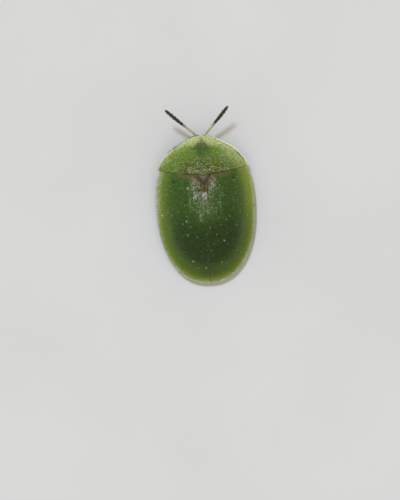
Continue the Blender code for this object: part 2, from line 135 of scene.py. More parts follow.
def dot(side, ahead, place, radius):
    """A soft round spot: 1 at its place and fading over its radius."""
    return np.exp(-(((side - place[0]) ** 2 + (ahead - place[1]) ** 2) / radius**2))


def mix(start, end, share):
    """The value at this share of the way from start to end."""
    return start + (end - start) * share


def half_length(ahead):
    """From the widest line to the front or hind end of the shield."""
    end = BODY_LENGTH / 2
    return np.where(ahead > WIDEST_AHEAD, end - WIDEST_AHEAD, end + WIDEST_AHEAD)


def oval_share(side, ahead):
    """0 at the middle of the shield and 1 on its outline."""
    across = np.abs(side) / (BODY_WIDTH / 2)
    along = np.abs(ahead - WIDEST_AHEAD) / half_length(ahead)
    return (across**OVAL_POWER + along**OVAL_POWER) ** (1 / OVAL_POWER)


def outline_point(angle):
    """Points (side, ahead) of the outline: 0 is the widest side, a quarter turn the front."""
    reach = 2 / OVAL_POWER
    ahead = np.sign(np.sin(angle)) * np.abs(np.sin(angle)) ** reach
    side = (BODY_WIDTH / 2) * np.maximum(0.0, np.cos(angle)) ** reach
    return side, WIDEST_AHEAD + ahead * half_length(WIDEST_AHEAD + ahead)


def rim_height(ahead):
    """Height of the shield's upper edge, which arches up over the head."""
    forward = np.maximum(0.0, ahead) / (BODY_LENGTH / 2)
    return RIM_HEIGHT + FRONT_RIM_LIFT * forward**2


def behind_share(side, ahead):
    """1 straight behind the middle, less towards the sides, and 0 in front."""
    reach = np.maximum(LEAST_REACH, np.hypot(side, ahead - WIDEST_AHEAD))
    return np.maximum(0.0, WIDEST_AHEAD - ahead) / reach


def shield_height(side, ahead):
    """Height of the shield's upper surface, with a groove and a margin that bends down."""
    share = np.minimum(1.0, oval_share(side, ahead))
    behind = behind_share(side, ahead)
    roundness = DOME_ROUNDNESS + DOME_REAR_ROUNDNESS * behind**2
    dome = DOME_HEIGHT * (1 - share**roundness) ** DOME_FLARE
    groove = GROOVE_DEPTH * bump(share, GROOVE_PLACE, GROOVE_SPREAD)
    drop = MARGIN_DROP + REAR_MARGIN_DROP * behind**2
    margin = drop * rise(share, MARGIN_START, 1 - MARGIN_START)
    return rim_height(ahead) + dome - groove - margin


def shield_normal(side, ahead):
    """Unit normal of the shield in the world, as an array with one row for each point."""
    height = shield_height(side, ahead)
    across = (shield_height(side + SLOPE_STEP, ahead) - height) / SLOPE_STEP
    along = (shield_height(side, ahead + SLOPE_STEP) - height) / SLOPE_STEP
    normal = np.stack([-across, along, np.ones_like(height)], axis=-1)
    return normal / np.linalg.norm(normal, axis=-1, keepdims=True)


def base_line(side):
    """Middle of the seam between the pronotum and the wing cases, as a distance ahead."""
    lobe = LOBE_DEPTH * smooth(np.abs(side) / LOBE_HALF_WIDTH)
    return BASE_AHEAD + lobe + CORNER_RISE * (np.abs(side) / CORNER_HALF_WIDTH) ** CORNER_POWER


def corner_angle(offset):
    """Where on the outline the seam line, moved ahead by offset, comes out."""
    low, high = 0.0, math.pi / 2
    while high - low > FINE_ANGLE:
        middle = (low + high) / 2
        side, ahead = outline_point(middle)
        if ahead > base_line(side) + offset:
            high = middle
        else:
            low = middle
    return low


def new_object(name, data):
    """An object that is in the scene."""
    obj = bpy.data.objects.new(name, data)
    bpy.context.scene.collection.objects.link(obj)
    return obj


def make_mesh(name, points, faces, finish, masks):
    """An object from points and faces, its normals turned outwards and its masks stored."""
    mesh = bpy.data.meshes.new(name)
    mesh.from_pydata(points, [], faces)
    bm = bmesh.new()
    bm.from_mesh(mesh)
    bmesh.ops.recalc_face_normals(bm, faces=bm.faces)
    bm.to_mesh(mesh)
    bm.free()
    mesh.shade_smooth()
    for mask, values in masks.items():
        attribute = mesh.attributes.new(mask, "FLOAT", "POINT")
        attribute.data.foreach_set("value", np.asarray(values, np.float32))
    mesh.materials.append(finish)
    obj = new_object(name, mesh)
    return obj


def patch_grid(base, top, inner, outer, size):
    """Sides and distances ahead over four edges: base and top run with u, the others with v."""
    u = np.linspace(0, 1, size[0])[:, None]
    v = np.linspace(0, 1, size[1])[None, :]
    u = u - GRID_CROWDING * np.sin(math.tau * u) / math.tau
    v = v - GRID_CROWDING * np.sin(math.tau * v) / math.tau
    grid = []
    for axis in range(2):
        ruled = mix(base(u)[axis], top(u)[axis], v)
        crossed = mix(inner(v)[axis], outer(v)[axis], u)
        near = mix(inner(np.zeros(1))[axis], outer(np.zeros(1))[axis], u)
        far = mix(inner(np.ones(1))[axis], outer(np.ones(1))[axis], u)
        grid.append(ruled + crossed - mix(near, far, v))
    return grid


def edge_distance(side, ahead):
    """Distance of each grid point to its plate's nearest edge, along the grid lines."""
    found = []
    for axis in (0, 1):
        steps = np.hypot(np.diff(side, axis=axis), np.diff(ahead, axis=axis))
        lead = np.zeros_like(np.take(steps, [0], axis=axis))
        run = np.cumsum(np.concatenate([lead, steps], axis=axis), axis=axis)
        found += [run, np.take(run, [-1], axis=axis) - run]
    return np.minimum.reduce(found)


def grid_faces(columns, rows, start=0):
    """Quads over a grid of points."""
    index = start + np.arange(columns * rows).reshape(columns, rows)
    corners = index[:-1, :-1], index[1:, :-1], index[1:, 1:], index[:-1, 1:]
    return np.stack([corner.ravel() for corner in corners], axis=1)


def border(columns, rows):
    """The grid's outermost points, in order round it."""
    index = np.arange(columns * rows).reshape(columns, rows)
    return np.concatenate([index[:, 0], index[-1, 1:], index[-2::-1, -1], index[0, -2:0:-1]])


def neck_bend(side, ahead):
    """Draws the pronotum's front in beside the head, and its hind corners out."""
    hold = rise(ahead, base_line(side), NECK_HOLD)
    cut = NECK_CUT * bump(np.abs(side), NECK_CUT_SIDE, NECK_CUT_SPREAD)
    bulge = NECK_BULGE * bump(ahead, NECK_BULGE_AHEAD, NECK_BULGE_SPREAD)
    return side * (1 + hold * bulge), ahead - hold * cut * rise(ahead, NECK_CUT_START, NECK_CUT_RUN)


def shield_plate(name, grid, side_sign, relief, finish, bend=None):
    """A thin curved plate with rounded edges, fine relief and the masks its finish reads."""
    side, ahead = grid[0] * side_sign, grid[1]
    columns, rows = side.shape
    height, masks = relief(side, ahead)
    if bend:
        side, ahead = bend(side, ahead)
    edge = edge_distance(side, ahead)
    thickness = mix(EDGE_THICKNESS, DISC_THICKNESS, smooth(edge / EDGE_TAPER))
    fall = np.clip(1 - edge / EDGE_ROUNDING, 0, 1)
    roundness = np.maximum(EDGE_LEAST, np.sqrt(1 - fall**2)) * thickness / 2
    surface = np.stack([side, MIDDLE - ahead, shield_height(side, ahead)], axis=-1)
    normal = shield_normal(side, ahead)
    depth = -SKIN_INSET - thickness / 2
    lift = depth + roundness + height * MM * smooth(edge / DISC_THICKNESS)
    upper = surface + normal * lift[..., None]
    lower = surface + normal * (depth - roundness)[..., None]
    points = np.concatenate([upper.reshape(-1, 3), lower.reshape(-1, 3)])
    loop = border(columns, rows)
    following = np.roll(loop, -1)
    count = columns * rows
    wall = np.stack([loop, following, following + count, loop + count], axis=1)
    faces = np.concatenate([grid_faces(columns, rows), grid_faces(columns, rows, count), wall])
    stored = {mask: np.tile(values.ravel(), 2) for mask, values in masks.items()}
    return make_mesh(name, points.tolist(), faces.tolist(), finish, stored)


# Relief and markings of the shield, in millimetres. A place is (side, ahead).
LATTICE_SPAN = 13
LATTICE_JITTER = 0.85
PUNCTURE_CELL = 0.125
PUNCTURE_RADIUS = 0.042
PUNCTURE_DEPTH = 0.018
NECK_PUNCTURE_CELL = 0.10
NECK_PUNCTURE_RADIUS = 0.030
NECK_PUNCTURE_DEPTH = 0.007
NET_CELL = 0.10
NET_DEPTH = 0.004
GLINT_CELL = 0.065
GLINT_RADIUS = 0.017
GLINT_LEAST = 0.35
LEAST_CHANCE = 1e-3
YELLOW_RADIUS = 0.04
YELLOW_FLECKS = (
    (0.30, -0.10),
    (0.27, -0.30),
    (0.30, -0.40),
    (0.24, -0.58),
    (0.98, -1.26),
    (-0.65, -2.74),
)
# Larger painted glints: bright spots of light painted on the shield at these places.
BRIGHT_GLINT_RADIUS = 0.03
BRIGHT_GLINTS = (
    (2.20, -0.18),
    (1.01, -0.57),
    (-0.85, -1.65),
    (0.84, 1.08),
    (0.17, -2.97),
    (0.79, -2.60),
    (-0.40, 1.24),
    (-0.50, 1.16),
    (-0.37, 1.10),
)
NOTCH_EDGE = ((0.36, 1.76), (0.0, 1.30))
BROWN_ARM = ((0.62, 1.79), (0.38, 1.72), (0.05, 1.28))

# Soft spots of the shield: the place and the radius, in millimetres.
HUMERAL_PIT = (1.53, 1.48), 0.075
BASAL_DENT = (0.50, 1.25), 0.30
DISC_DENT = (0.72, 0.45), 0.35
NECK_SIDE_DENT = (1.25, 2.02), 0.30
NECK_LOBE_DENT = (0.35, 1.92), 0.16
NECK_PIT = (0.37, 2.62), 0.035
CORNER_PIT = (1.74, 1.98), 0.05
HEAD_SWELL = (0.0, 2.95), 0.55
LEFT_RIM_SPOT = (1.36, 3.22), 0.13
RIGHT_RIM_SPOT = (1.90, 2.74), 0.22


def value_noise(x, y, cell, seed):
    """A smooth random field from -1 to 1, with bumps of about this size in millimetres."""
    count = int(math.ceil(LATTICE_SPAN / cell)) + 2
    values = np.random.default_rng(seed).uniform(-1, 1, (count, count))
    x = x / cell + count / 2
    y = y / cell + count / 2
    i, j = np.floor(x).astype(int), np.floor(y).astype(int)
    across, along = smooth(x - i), smooth(y - j)
    near = mix(values[i, j], values[i + 1, j], across)
    far = mix(values[i, j + 1], values[i + 1, j + 1], across)
    return mix(near, far, along)


def lattice(x, y, cell, seed):
    """Distances to the nearest two points of a jittered lattice, and the nearest one's luck."""
    rng = np.random.default_rng(seed)
    count = int(math.ceil(LATTICE_SPAN / cell))
    offset = rng.uniform(-0.5, 0.5, (2, count, count)) * LATTICE_JITTER
    luck = rng.random((count, count))
    column = np.floor(x / cell).astype(int) + count // 2
    row = np.floor(y / cell).astype(int) + count // 2
    nearest = np.full(x.shape, float(LATTICE_SPAN))
    second = nearest.copy()
    chosen = np.zeros(x.shape)
    for across in (-1, 0, 1):
        for along in (-1, 0, 1):
            i, j = column + across, row + along
            point_x = (i - count // 2 + 0.5 + offset[0, i, j]) * cell
            point_y = (j - count // 2 + 0.5 + offset[1, i, j]) * cell
            distance = np.hypot(x - point_x, y - point_y)
            closer = distance < nearest
            second = np.where(closer, nearest, np.minimum(second, distance))
            chosen = np.where(closer, luck[i, j], chosen)
            nearest = np.where(closer, distance, nearest)
    return nearest, second, chosen


def glints(x, y, chance, seed):
    """Painted glints: tiny bright specks of light, each of its own strength, as often as chance says."""
    nearest, _, luck = lattice(x, y, GLINT_CELL, seed)
    strength = np.clip((luck - (1 - chance)) / np.maximum(chance, LEAST_CHANCE), 0, 1)
    return bump(nearest, 0, GLINT_RADIUS) * (luck > 1 - chance) * mix(GLINT_LEAST, 1, strength)


def route_distance(x, y, route):
    """Distance to the line through several places."""
    found = []
    for (start_x, start_y), (end_x, end_y) in zip(route, route[1:]):
        run_x, run_y = end_x - start_x, end_y - start_y
        along_run = ((x - start_x) * run_x + (y - start_y) * run_y) / (run_x**2 + run_y**2)
        share = np.clip(along_run, 0, 1)
        found.append(np.hypot(x - start_x - share * run_x, y - start_y - share * run_y))
    return np.minimum.reduce(found)


def dots(x, y, places, radius):
    """Several soft round spots of one radius."""
    return sum(dot(x, y, place, radius) for place in places)


def elytron_relief(side, ahead):
    """Relief of a wing case in millimetres and the masks of its markings.

    The punctures fill its disc, the basal wrinkles carry the silver patch, which is a painted
    highlight on their crests with painted shade in their hollows, and a network covers the margin.
    Painted glints lie over it, and a painted sheen on the front margin of the beetle's left. Places
    and widths are in millimetres too, apart from those of a share.
    """
    x, a = side / MM, ahead / MM
    s = np.abs(x)
    share = oval_share(side, ahead)
    behind = behind_share(side, ahead)
    rear = rise(behind, 0, 0.9)
    from_base = (base_line(side) - ahead) / MM
    disc = 1 - rise(share, 0.74, 0.08)

    nearest, _, luck = lattice(x, a, PUNCTURE_CELL, seed=11)
    pit = bump(nearest, 0, PUNCTURE_RADIUS * (0.65 + 0.6 * luck)) * (luck > 0.12)
    net_near, net_second, _ = lattice(x, a, NET_CELL, seed=12)
    net = smooth(1 - (net_second - net_near) / (0.35 * NET_CELL)) * (1 - disc)
    wrinkle = value_noise(x, a * 0.7, 0.055, seed=13)
    ripple = value_noise(x, a, 0.11, seed=14)
    swell = value_noise(x, a, 0.45, seed=15)

    suture_glow = 2.2 * bump(s, 0, 0.11) * bump(a, 0.66, 0.16)
    side_glow = 1.3 * bump(x, 0.52, 0.10) * bump(a, 0.62, 0.22)
    outer = np.where(x > 0, 0.80, 0.68) - 0.30 * rise(a, 1.3, -1.0)
    silver = smooth((outer - s) / 0.20 + 0.4 * ripple) * rise(a, np.where(x > 0, 0.15, 0.40), 0.6)
    silver *= rise(s, 0.08, 0.16) * rise(from_base, 0.08, 0.14)
    silver = np.clip(np.maximum(silver, suture_glow), 0, 1)

    humeral = dot(s, a, *HUMERAL_PIT)
    rib = bump(s, 0.78, 0.06) * rise(a, 1.4, -0.5) * rise(a, -0.6, 0.8)
    suture_rib = bump(s, 0.13, 0.05) * rise(a, -1.0, 1.0)
    height = -PUNCTURE_DEPTH * pit * (0.35 + 0.65 * disc) * (1 + 0.5 * silver)
    height += silver * (0.014 * wrinkle + 0.008 * ripple) + disc * (0.006 * swell + 0.004 * ripple)
    height -= 0.035 * humeral + 0.035 * dot(s, a, *BASAL_DENT) + 0.020 * dot(s, a, *DISC_DENT)
    height += 0.014 * (rib + suture_rib) * disc + NET_DEPTH * net

    arm_band = bump(route_distance(s, a, BROWN_ARM), 0, 0.165)
    suture_band = rise(s, 0.232, -0.145) * rise(a, 0.72, 0.2)
    base_band = bump(from_base, 0, 0.23) * rise(s, 1.55, -0.4)
    base_seam = bump(from_base, 0, 0.042) * rise(s, 1.25, -0.4)
    notch_seam = bump(route_distance(s, a, NOTCH_EDGE), 0, 0.09)
    front_suture = bump(s, 0, 0.035) * rise(a, 0.75, 0.2)
    stripes = 0.8 * bump(s, 0.15, 0.03) * rise(a, 0.35, 0.3)
    suture = 0.5 * bump(s, 0, 0.02) * rise(a, -0.4, 0.6)

    dark = rise(a, 0.8, -2.4) * (1 - rise(share, 0.50 + 0.14 * rear**3, 0.34))
    tail_dark = bump(s, 0, 0.7) * rise(a, -1.6, -0.8) * (1 - rise(share, 0.86, 0.1))
    fore = rise(a, -0.8, 1.4)
    pale_stripe = bump(s, 0.08, 0.05) * rise(a, -0.5, 0.5) * rise(a, 0.75, -0.3)
    pale_field = bump(s, 0.18, 0.36) * rise(a, -0.9, 0.9)
    pale_suture = 0.25 * bump(s, 0, 0.05) * rise(a, -0.2, -0.6)
    # How often painted glints fall: more on the silver patch, near the suture and towards the front.
    chance = 0.007 + 0.019 * rise(a, -1.2, 1.0) + 0.26 * silver
    chance += 0.24 * bump(s, 0, 0.65) * rise(a, -0.8, 0.9)
    chance *= 1 - 0.8 * arm_band
    chance += 0.6 * np.clip(suture_glow + 0.6 * side_glow, 0, 1)
    return height, {
        "rim": share - 0.09 * rear * (1 - rise(share, 0.86, 0.12)),
        "pit": pit * disc,
        "net": net,
        # Painted silvery highlight on the crests of the basal wrinkles.
        "silver": silver * smooth(0.75 + 0.9 * wrinkle),
        # Painted shade in the hollows of the basal wrinkles.
        "hollow": silver * smooth(-3.0 * wrinkle - 0.8),
        "shine": np.clip(suture_glow + side_glow, 0, 1) * smooth(0.4 + 1.6 * wrinkle),
        "mark": np.clip(np.maximum(arm_band, suture_band) * (0.85 + 0.3 * ripple), 0, 1),
        "base": np.clip(base_band * (0.9 + 0.3 * ripple), 0, 1),
        "line": np.maximum.reduce([base_seam, notch_seam, front_suture, stripes, suture]),
        # Painted glints of light, small ones and larger ones.
        "speck": np.maximum(glints(x, a, chance, seed=16), dots(x, a, BRIGHT_GLINTS, BRIGHT_GLINT_RADIUS)),
        "fleck": np.clip(dots(x, a, YELLOW_FLECKS, YELLOW_RADIUS), 0, 1),
        "stripe": np.clip(0.8 * pale_stripe + 0.55 * pale_field * (1 - silver) + pale_suture, 0, 1),
        "spot": humeral,
        "dark": np.maximum(dark, 0.75 * tail_dark),
        "glow": fore * rise(share, 0.76, 0.14) * (x < 0) * (1 + 0.6 * rise(share, 0.95, 0.03)),
        # Painted sheen: a paler, bluish band on the front margin of the beetle's left, the side the sun
        # comes from.
        "frost": fore * rise(share, 0.86, 0.12) * (x > 0),
        "low_edge": rise(share, 0.93, 0.04) * bump(behind, 0.65, 0.22),
        "disc": disc,
        "rib": rib,
    }


def pronotum_relief(side, ahead):
    """Relief of the pronotum in millimetres and the masks of its markings.

    It is finely punctured and rough along its base, with painted shade in the creases and painted
    light on the crests there. It shows the head's shadow through as painted shade, and has a pale rim
    with a dark line, which runs inside the rim on the beetle's right, and a painted rim light along
    its outer edge. Painted glints lie over it.
    """
    x, a = side / MM, ahead / MM
    s = np.abs(x)
    share = oval_share(side, ahead)
    from_base = (ahead - base_line(side)) / MM
    nearest, _, luck = lattice(x, a, NECK_PUNCTURE_CELL, seed=21)
    pit = bump(nearest, 0, NECK_PUNCTURE_RADIUS * (0.6 + 0.7 * luck)) * (luck > 0.2)
    ripple = value_noise(x, a, 0.12, seed=22)
    swell = value_noise(x, a, 0.5, seed=23)
    wrinkle = value_noise(x * 0.6, a, 0.05, seed=24)
    rough = rise(s, 1.50, -0.6) * rise(a, 2.90, -0.8)
    lobe_dent = dot(s, a, *NECK_LOBE_DENT)
    neck_pit = dot(x, a, *NECK_PIT)
    brow_line = bump(a - 0.50 * s, 2.62, 0.05) * rise(s, 0.85, -0.25)
    middle_line = bump(s, 0, 0.03) * rise(a, 1.9, 0.2) * rise(a, 3.0, -0.5)

    height = -NECK_PUNCTURE_DEPTH * pit * (1 - 0.5 * rise(share, 0.85, 0.1))
    height += 0.009 * wrinkle * rough + 0.005 * ripple + 0.008 * swell
    height += 0.045 * dot(s, a, *HEAD_SWELL) - 0.030 * dot(s, a, *NECK_SIDE_DENT) - 0.022 * lobe_dent
    height -= 0.020 * neck_pit + 0.006 * middle_line + 0.016 * brow_line

    diamond = s / 0.50 + np.abs(a - 3.06) / 0.50 + 0.15 * ripple
    furrow = bump(a - 0.35 * s, 2.05, 0.07) * rise(s, 1.1, -0.4)
    behind_head = bump(s, 0, 0.24) * rise(a, 2.9, -0.3) * rise(a, 1.95, 0.3)
    left_spot = dot(s, a, *LEFT_RIM_SPOT) * (x > 0)
    right_spot = dot(s, a, *RIGHT_RIM_SPOT) * (x < 0)
    rim_break = smooth(0.85 + 0.9 * value_noise(x, a, 0.30, seed=25))
    rim_break *= np.where(x > 0, 0.9 * rise(a, 2.80, 0.3), 0.05)
    rim_line = rise(share, 0.985 - 0.014 * left_spot, 0.007) * rise(s, 0.02, 0.1)
    inner_line = bump(share, 0.973, 0.0045 + 0.011 * right_spot) * (x < 0)
    inner_line *= np.maximum(0.66 * rise(s, 0.6, 0.5) * rise(a, 2.1, 0.3), right_spot)
    rim_shift = 0.015 * bump(share, 0.925, 0.035) + 0.014 * bump(share, 0.955, 0.025) * rise(a, 3.0, -0.3)
    left_deep = bump(share, 0.81, 0.07) * rise(x, 0.8, 0.4)
    front_start = 0.85 + 0.03 * (x > 0) - 0.10 * rise(s, 0.96, -0.8)
    # How often painted glints fall on the pronotum: more at its sides, middle front and right.
    chance = 0.05 + 0.13 * rise(s, 0.8, 0.5) + 0.22 * lobe_dent
    chance += 0.14 * bump(s, 0, 0.45) * rise(a, 2.35, -0.3)
    chance += 0.14 * rise(-x, 0.6, 0.4) * rise(a, 2.2, 0.3)
    return height, {
        "rim": share - rim_shift * (x > 0),
        "pit": pit,
        # Painted shadow of the head showing through the pronotum, and more weakly of the thorax behind
        # it.
        "head": np.maximum(rise(diamond, 1.30, -0.64), 0.45 * behind_head),
        "brown": rough * np.clip(0.8 + 0.8 * ripple, 0, 1),
        # Painted shade in the creases of the rough base, and along a furrow there.
        "crease": rough * np.clip(smooth(-2.6 * wrinkle - 0.4) + 0.5 * furrow, 0, 1),
        # Painted light on the crests of the rough base.
        "crest": rough * smooth(2.8 * wrinkle - 0.9),
        "brow": brow_line,
        "lobe": np.exp(-((s / 0.42) ** 4)) * rise(from_base, 0.26, -0.22),
        "base": np.maximum(rise(from_base, 0.55, -0.55) * rise(s, 0.9, 0.6), 0.55 * left_deep),
        "front": rise(a, 2.95, 0.55) * rise(share, front_start, 0.10),
        "sheen": rise(share, 0.74, 0.16) * rise(-x, 0.7, 0.7),
        "line": np.maximum(rim_line * np.maximum(rim_break, left_spot), inner_line),
        "seam": bump(from_base, 0, 0.04),
        # Painted rim light: a cream-white band along the outermost rim, full on the beetle's right and
        # half on its left.
        "edge": rise(share, 0.983, 0.006) * np.where(x < 0, 1.0, 0.5) * rise(s, 0.5, 0.5),
        # Painted glints of light.
        "speck": glints(x, a, chance, seed=26),
        "spot": np.clip(neck_pit + 0.8 * dot(x, a, *CORNER_PIT), 0, 1),
    }


def scutellum_relief(side, ahead):
    """A smooth little plate with a raised middle."""
    x, a = side / MM, ahead / MM
    ripple = value_noise(x, a, 0.07, seed=31)
    return 0.004 * ripple, {
        "ripple": 0.5 + 0.5 * ripple,
        "low": rise(a, 1.60, -0.14),
        "line": bump(route_distance(np.abs(x), a, NOTCH_EDGE), 0, 0.09),
    }


def pronotum_grid():
    """The neck shield as one grid from its right corner to its left."""
    corner = corner_angle(SEAM / 2)
    corner_side = outline_point(corner)[0]

    def hind(u):
        side = corner_side * (2 * u - 1)
        return side, base_line(side) + SEAM / 2

    def front(u):
        turn = mix(math.pi - FRONT_CORNER_ANGLE, FRONT_CORNER_ANGLE, u)
        side, ahead = outline_point(math.pi / 2 - np.abs(turn - math.pi / 2))
        return np.sign(math.pi / 2 - turn) * side, ahead

    def lateral(sign):
        def edge(v):
            side, ahead = outline_point(mix(corner, FRONT_CORNER_ANGLE, v))
            return sign * side, ahead

        return edge

    return patch_grid(hind, front, lateral(-1), lateral(1), PRONOTUM_GRID)


def scutellum_tip():
    """How far ahead the scutellum's hind tip lies."""
    return base_line(0) - SEAM / 2 - SCUTELLUM_LENGTH


def scutellum_grid():
    """The small triangle between the wing cases."""

    def hind(u):
        return SCUTELLUM_TIP_HALF_WIDTH * (2 * u - 1), scutellum_tip() + 0 * u

    def front(u):
        side = SCUTELLUM_HALF_WIDTH * (2 * u - 1)
        return side, base_line(side) - SEAM / 2

    def edge(sign):
        end = sign * SCUTELLUM_HALF_WIDTH
        start = sign * SCUTELLUM_TIP_HALF_WIDTH
        return lambda v: (mix(start, end, v), mix(scutellum_tip(), base_line(end) - SEAM / 2, v))

    return patch_grid(hind, front, edge(-1), edge(1), SCUTELLUM_GRID)


def elytron_grid():
    """One wing case, from the seam behind the pronotum to the hind tip."""
    shoulder = corner_angle(-SEAM / 2)
    shoulder_side = outline_point(shoulder)[0]
    apex_angle = -math.acos((APEX_HALF_WIDTH / (BODY_WIDTH / 2)) ** (OVAL_POWER / 2))
    apex_end = outline_point(apex_angle)
    tip = (SEAM / 2, scutellum_tip() - SEAM)
    notch_side = SCUTELLUM_HALF_WIDTH + SEAM
    notch_ahead = base_line(notch_side) - SEAM / 2

    def base(u):
        share = np.clip(u / NOTCH_SHARE, 0, 1)
        rest = np.clip((u - NOTCH_SHARE) / (1 - NOTCH_SHARE), 0, 1)
        beside = mix(notch_side, shoulder_side, rest)
        side = np.where(u < NOTCH_SHARE, mix(tip[0], notch_side, share), beside)
        ahead = np.where(u < NOTCH_SHARE, mix(tip[1], notch_ahead, share), base_line(side) - SEAM / 2)
        return side, ahead

    def apex(u):
        side, ahead = outline_point(mix(-math.pi / 2, apex_angle, u))
        return np.maximum(side, mix(SEAM / 2, apex_end[0], u)), ahead

    def suture(v):
        return SEAM / 2 + 0 * v, mix(tip[1], -BODY_LENGTH / 2, v)

    def margin(v):
        return outline_point(mix(shoulder, apex_angle, v))

    return patch_grid(base, apex, suture, margin, ELYTRON_GRID)


def linear(shade):
    """A linear colour from shades 0 to 255."""
    parts = []
    for part in shade:
        value = part / 255
        parts.append(value / 12.92 if value <= 0.04045 else ((value + 0.055) / 1.055) ** 2.4)
    return (*parts, 1.0)


class Finish:
    """A glossy surface whose colour is built up in layers, each through a mask.

    It starts from one shade, or from pairs of place and shade along the rim mask.
    """

    def __init__(self, name, start, roughness, **settings):
        self.material = bpy.data.materials.new(name)
        self.material.use_nodes = True
        self.tree = self.material.node_tree
        self.shader = self.tree.nodes["Principled BSDF"]
        self.shader.inputs["Roughness"].default_value = roughness
        for socket, value in settings.items():
            self.shader.inputs[socket.replace("_", " ")].default_value = value
        self.place = self.tree.nodes.new("ShaderNodeTexCoord").outputs["Object"]
        self.colour = self.ramp("rim", start) if isinstance(start[0], tuple) else linear(start)
        self.height = None

    def join(self, source, socket):
        """Feeds a socket from another one, a mask's name or a plain value."""
        if isinstance(source, str):
            source = self.mask(source)
        if isinstance(source, bpy.types.NodeSocket):
            self.tree.links.new(source, socket)
        else:
            socket.default_value = source

    def mask(self, name):
        """A mask stored on the mesh."""
        node = self.tree.nodes.new("ShaderNodeAttribute")
        node.attribute_name = name
        return node.outputs["Fac"]

    def ramp(self, value, stops):
        """Colours along a value."""
        node = self.tree.nodes.new("ShaderNodeValToRGB")
        band = node.color_ramp.elements
        while len(band) < len(stops):
            band.new(0.5)
        for element, (position, shade) in zip(band, stops):
            element.position = position
            element.color = linear(shade)
        self.join(value, node.inputs["Fac"])
        return node.outputs["Color"]

    def texture(self, kind, size):
        """A texture whose features have about this size in millimetres."""
        node = self.tree.nodes.new(kind)
        node.inputs["Scale"].default_value = 1 / (size * MM)
        self.join(self.place, node.inputs["Vector"])
        return node

    def noise(self, size, low=0.35, high=0.65):
        """Noise that runs from 0 at low to 1 at high."""
        node = self.texture("ShaderNodeTexNoise", size)
        node.inputs["Detail"].default_value = NOISE_DETAIL
        return self.span(node.outputs["Fac"], low, high)

    def cells(self, size, low=0.0, high=0.6):
        """Cells: 0 at their middles and 1 between them."""
        node = self.texture("ShaderNodeTexVoronoi", size)
        return self.span(node.outputs["Distance"], low, high)

    def span(self, value, low, high, start=0.0, end=1.0):
        """The value's range from low to high, mapped to run from start to end."""
        node = self.tree.nodes.new("ShaderNodeMapRange")
        self.join(value, node.inputs["Value"])
        settings = (("From Min", low), ("From Max", high), ("To Min", start), ("To Max", end))
        for socket, number in settings:
            node.inputs[socket].default_value = number
        return node.outputs["Result"]

    def maths(self, operation, first, second):
        """Two values worked out together."""
        node = self.tree.nodes.new("ShaderNodeMath")
        node.operation = operation
        self.join(first, node.inputs[0])
        self.join(second, node.inputs[1])
        return node.outputs["Value"]

    def layer(self, mask, shade, strength):
        """Lays a shade over what is there.

        The mask is a stored one's name, a socket, or a noise as (size, low, high). The
        strength is a number, or (mask, start, end) where it changes along another mask.
        """
        if isinstance(mask, tuple):
            mask = self.noise(*mask)
        if isinstance(strength, tuple):
            strength = self.span(strength[0], 0, 1, *strength[1:])
        node = self.tree.nodes.new("ShaderNodeMix")
        node.data_type = "RGBA"
        self.join(self.maths("MULTIPLY", mask, strength), node.inputs["Factor"])
        self.join(self.colour, node.inputs["A"])
        self.join(linear(shade), node.inputs["B"])
        self.colour = node.outputs["Result"]

    def raise_by(self, value, amount):
        """Adds to the fine surface relief."""
        added = self.maths("MULTIPLY", value, amount)
        self.height = added if self.height is None else self.maths("ADD", self.height, added)

    def gloss(self, size, low, high):
        """Lets the roughness vary between two values, in patches of this size."""
        self.join(self.span(self.noise(size), 0, 1, low, high), self.shader.inputs["Roughness"])

    def finish(self):
        """Connects the layers and the relief to the shader."""
        self.join(self.colour, self.shader.inputs["Base Color"])
        if self.height is not None:
            node = self.tree.nodes.new("ShaderNodeBump")
            node.inputs["Distance"].default_value = BUMP_DEPTH
            self.join(self.height, node.inputs["Height"])
            self.join(node.outputs["Normal"], self.shader.inputs["Normal"])
        return self.material


# Shades of the shield along the rim mask, and the layers over them: the mask, or a noise's size
# in millimetres with its low and high end, then the shade and the strength.
BUMP_DEPTH = 0.004 * MM
NOISE_DETAIL = 3
PLATE_ROUGHNESS = 0.4
PLATE_GLOW = {
    "Subsurface_Weight": 0.12,
    "Subsurface_Scale": 0.12 * MM,
    "Subsurface_Radius": (0.7, 1.0, 0.25),
}
ELYTRON_SHADES = (
    (0.0, (63, 91, 33)),
    (0.50, (59, 87, 31)),
    (0.66, (67, 95, 31)),
    (0.80, (84, 109, 12)),
    (0.88, (103, 125, 12)),
    (0.94, (127, 147, 62)),
    (0.975, (156, 168, 120)),
    (1.0, (208, 210, 182)),
)
ELYTRON_LAYERS = (
    ("dark", (37, 53, 24), 0.84),
    ("glow", (172, 182, 62), 0.30),
    # Painted sheen on the sunward front margin.
    ("frost", (206, 211, 184), 0.40),
    ("low_edge", (110, 120, 44), 0.34),
    ((0.20, 0.48, 0.70), (86, 118, 48), ("dark", 0.38, 0.171)),
    ((0.10, 0.48, 0.66), (36, 56, 22), ("disc", 0.22, 0.48)),
    ((0.045, 0.52, 0.68), (106, 134, 70), 0.34),
    ((0.032, 0.50, 0.66), (34, 54, 20), 0.26),
    ("pit", (32, 48, 20), 0.44),
    ("net", (126, 146, 66), 0.25),
    ("stripe", (110, 124, 80), 0.58),
    ("rib", (86, 112, 56), 0.45),
    # Painted silvery highlight on the wrinkle crests, then painted shade in their hollows.
    ("silver", (120, 119, 98), 0.76),
    ("hollow", (52, 54, 34), 0.72),
    ("shine", (196, 200, 186), 0.62),
    ("base", (104, 100, 60), 0.85),
    ("mark", (100, 76, 44), 0.86),
    ("line", (62, 46, 28), 0.86),
    ("spot", (30, 34, 22), 0.80),
    # Painted glints.
    ("speck", (228, 232, 214), 0.74),
    ("fleck", (160, 168, 62), 0.80),
)
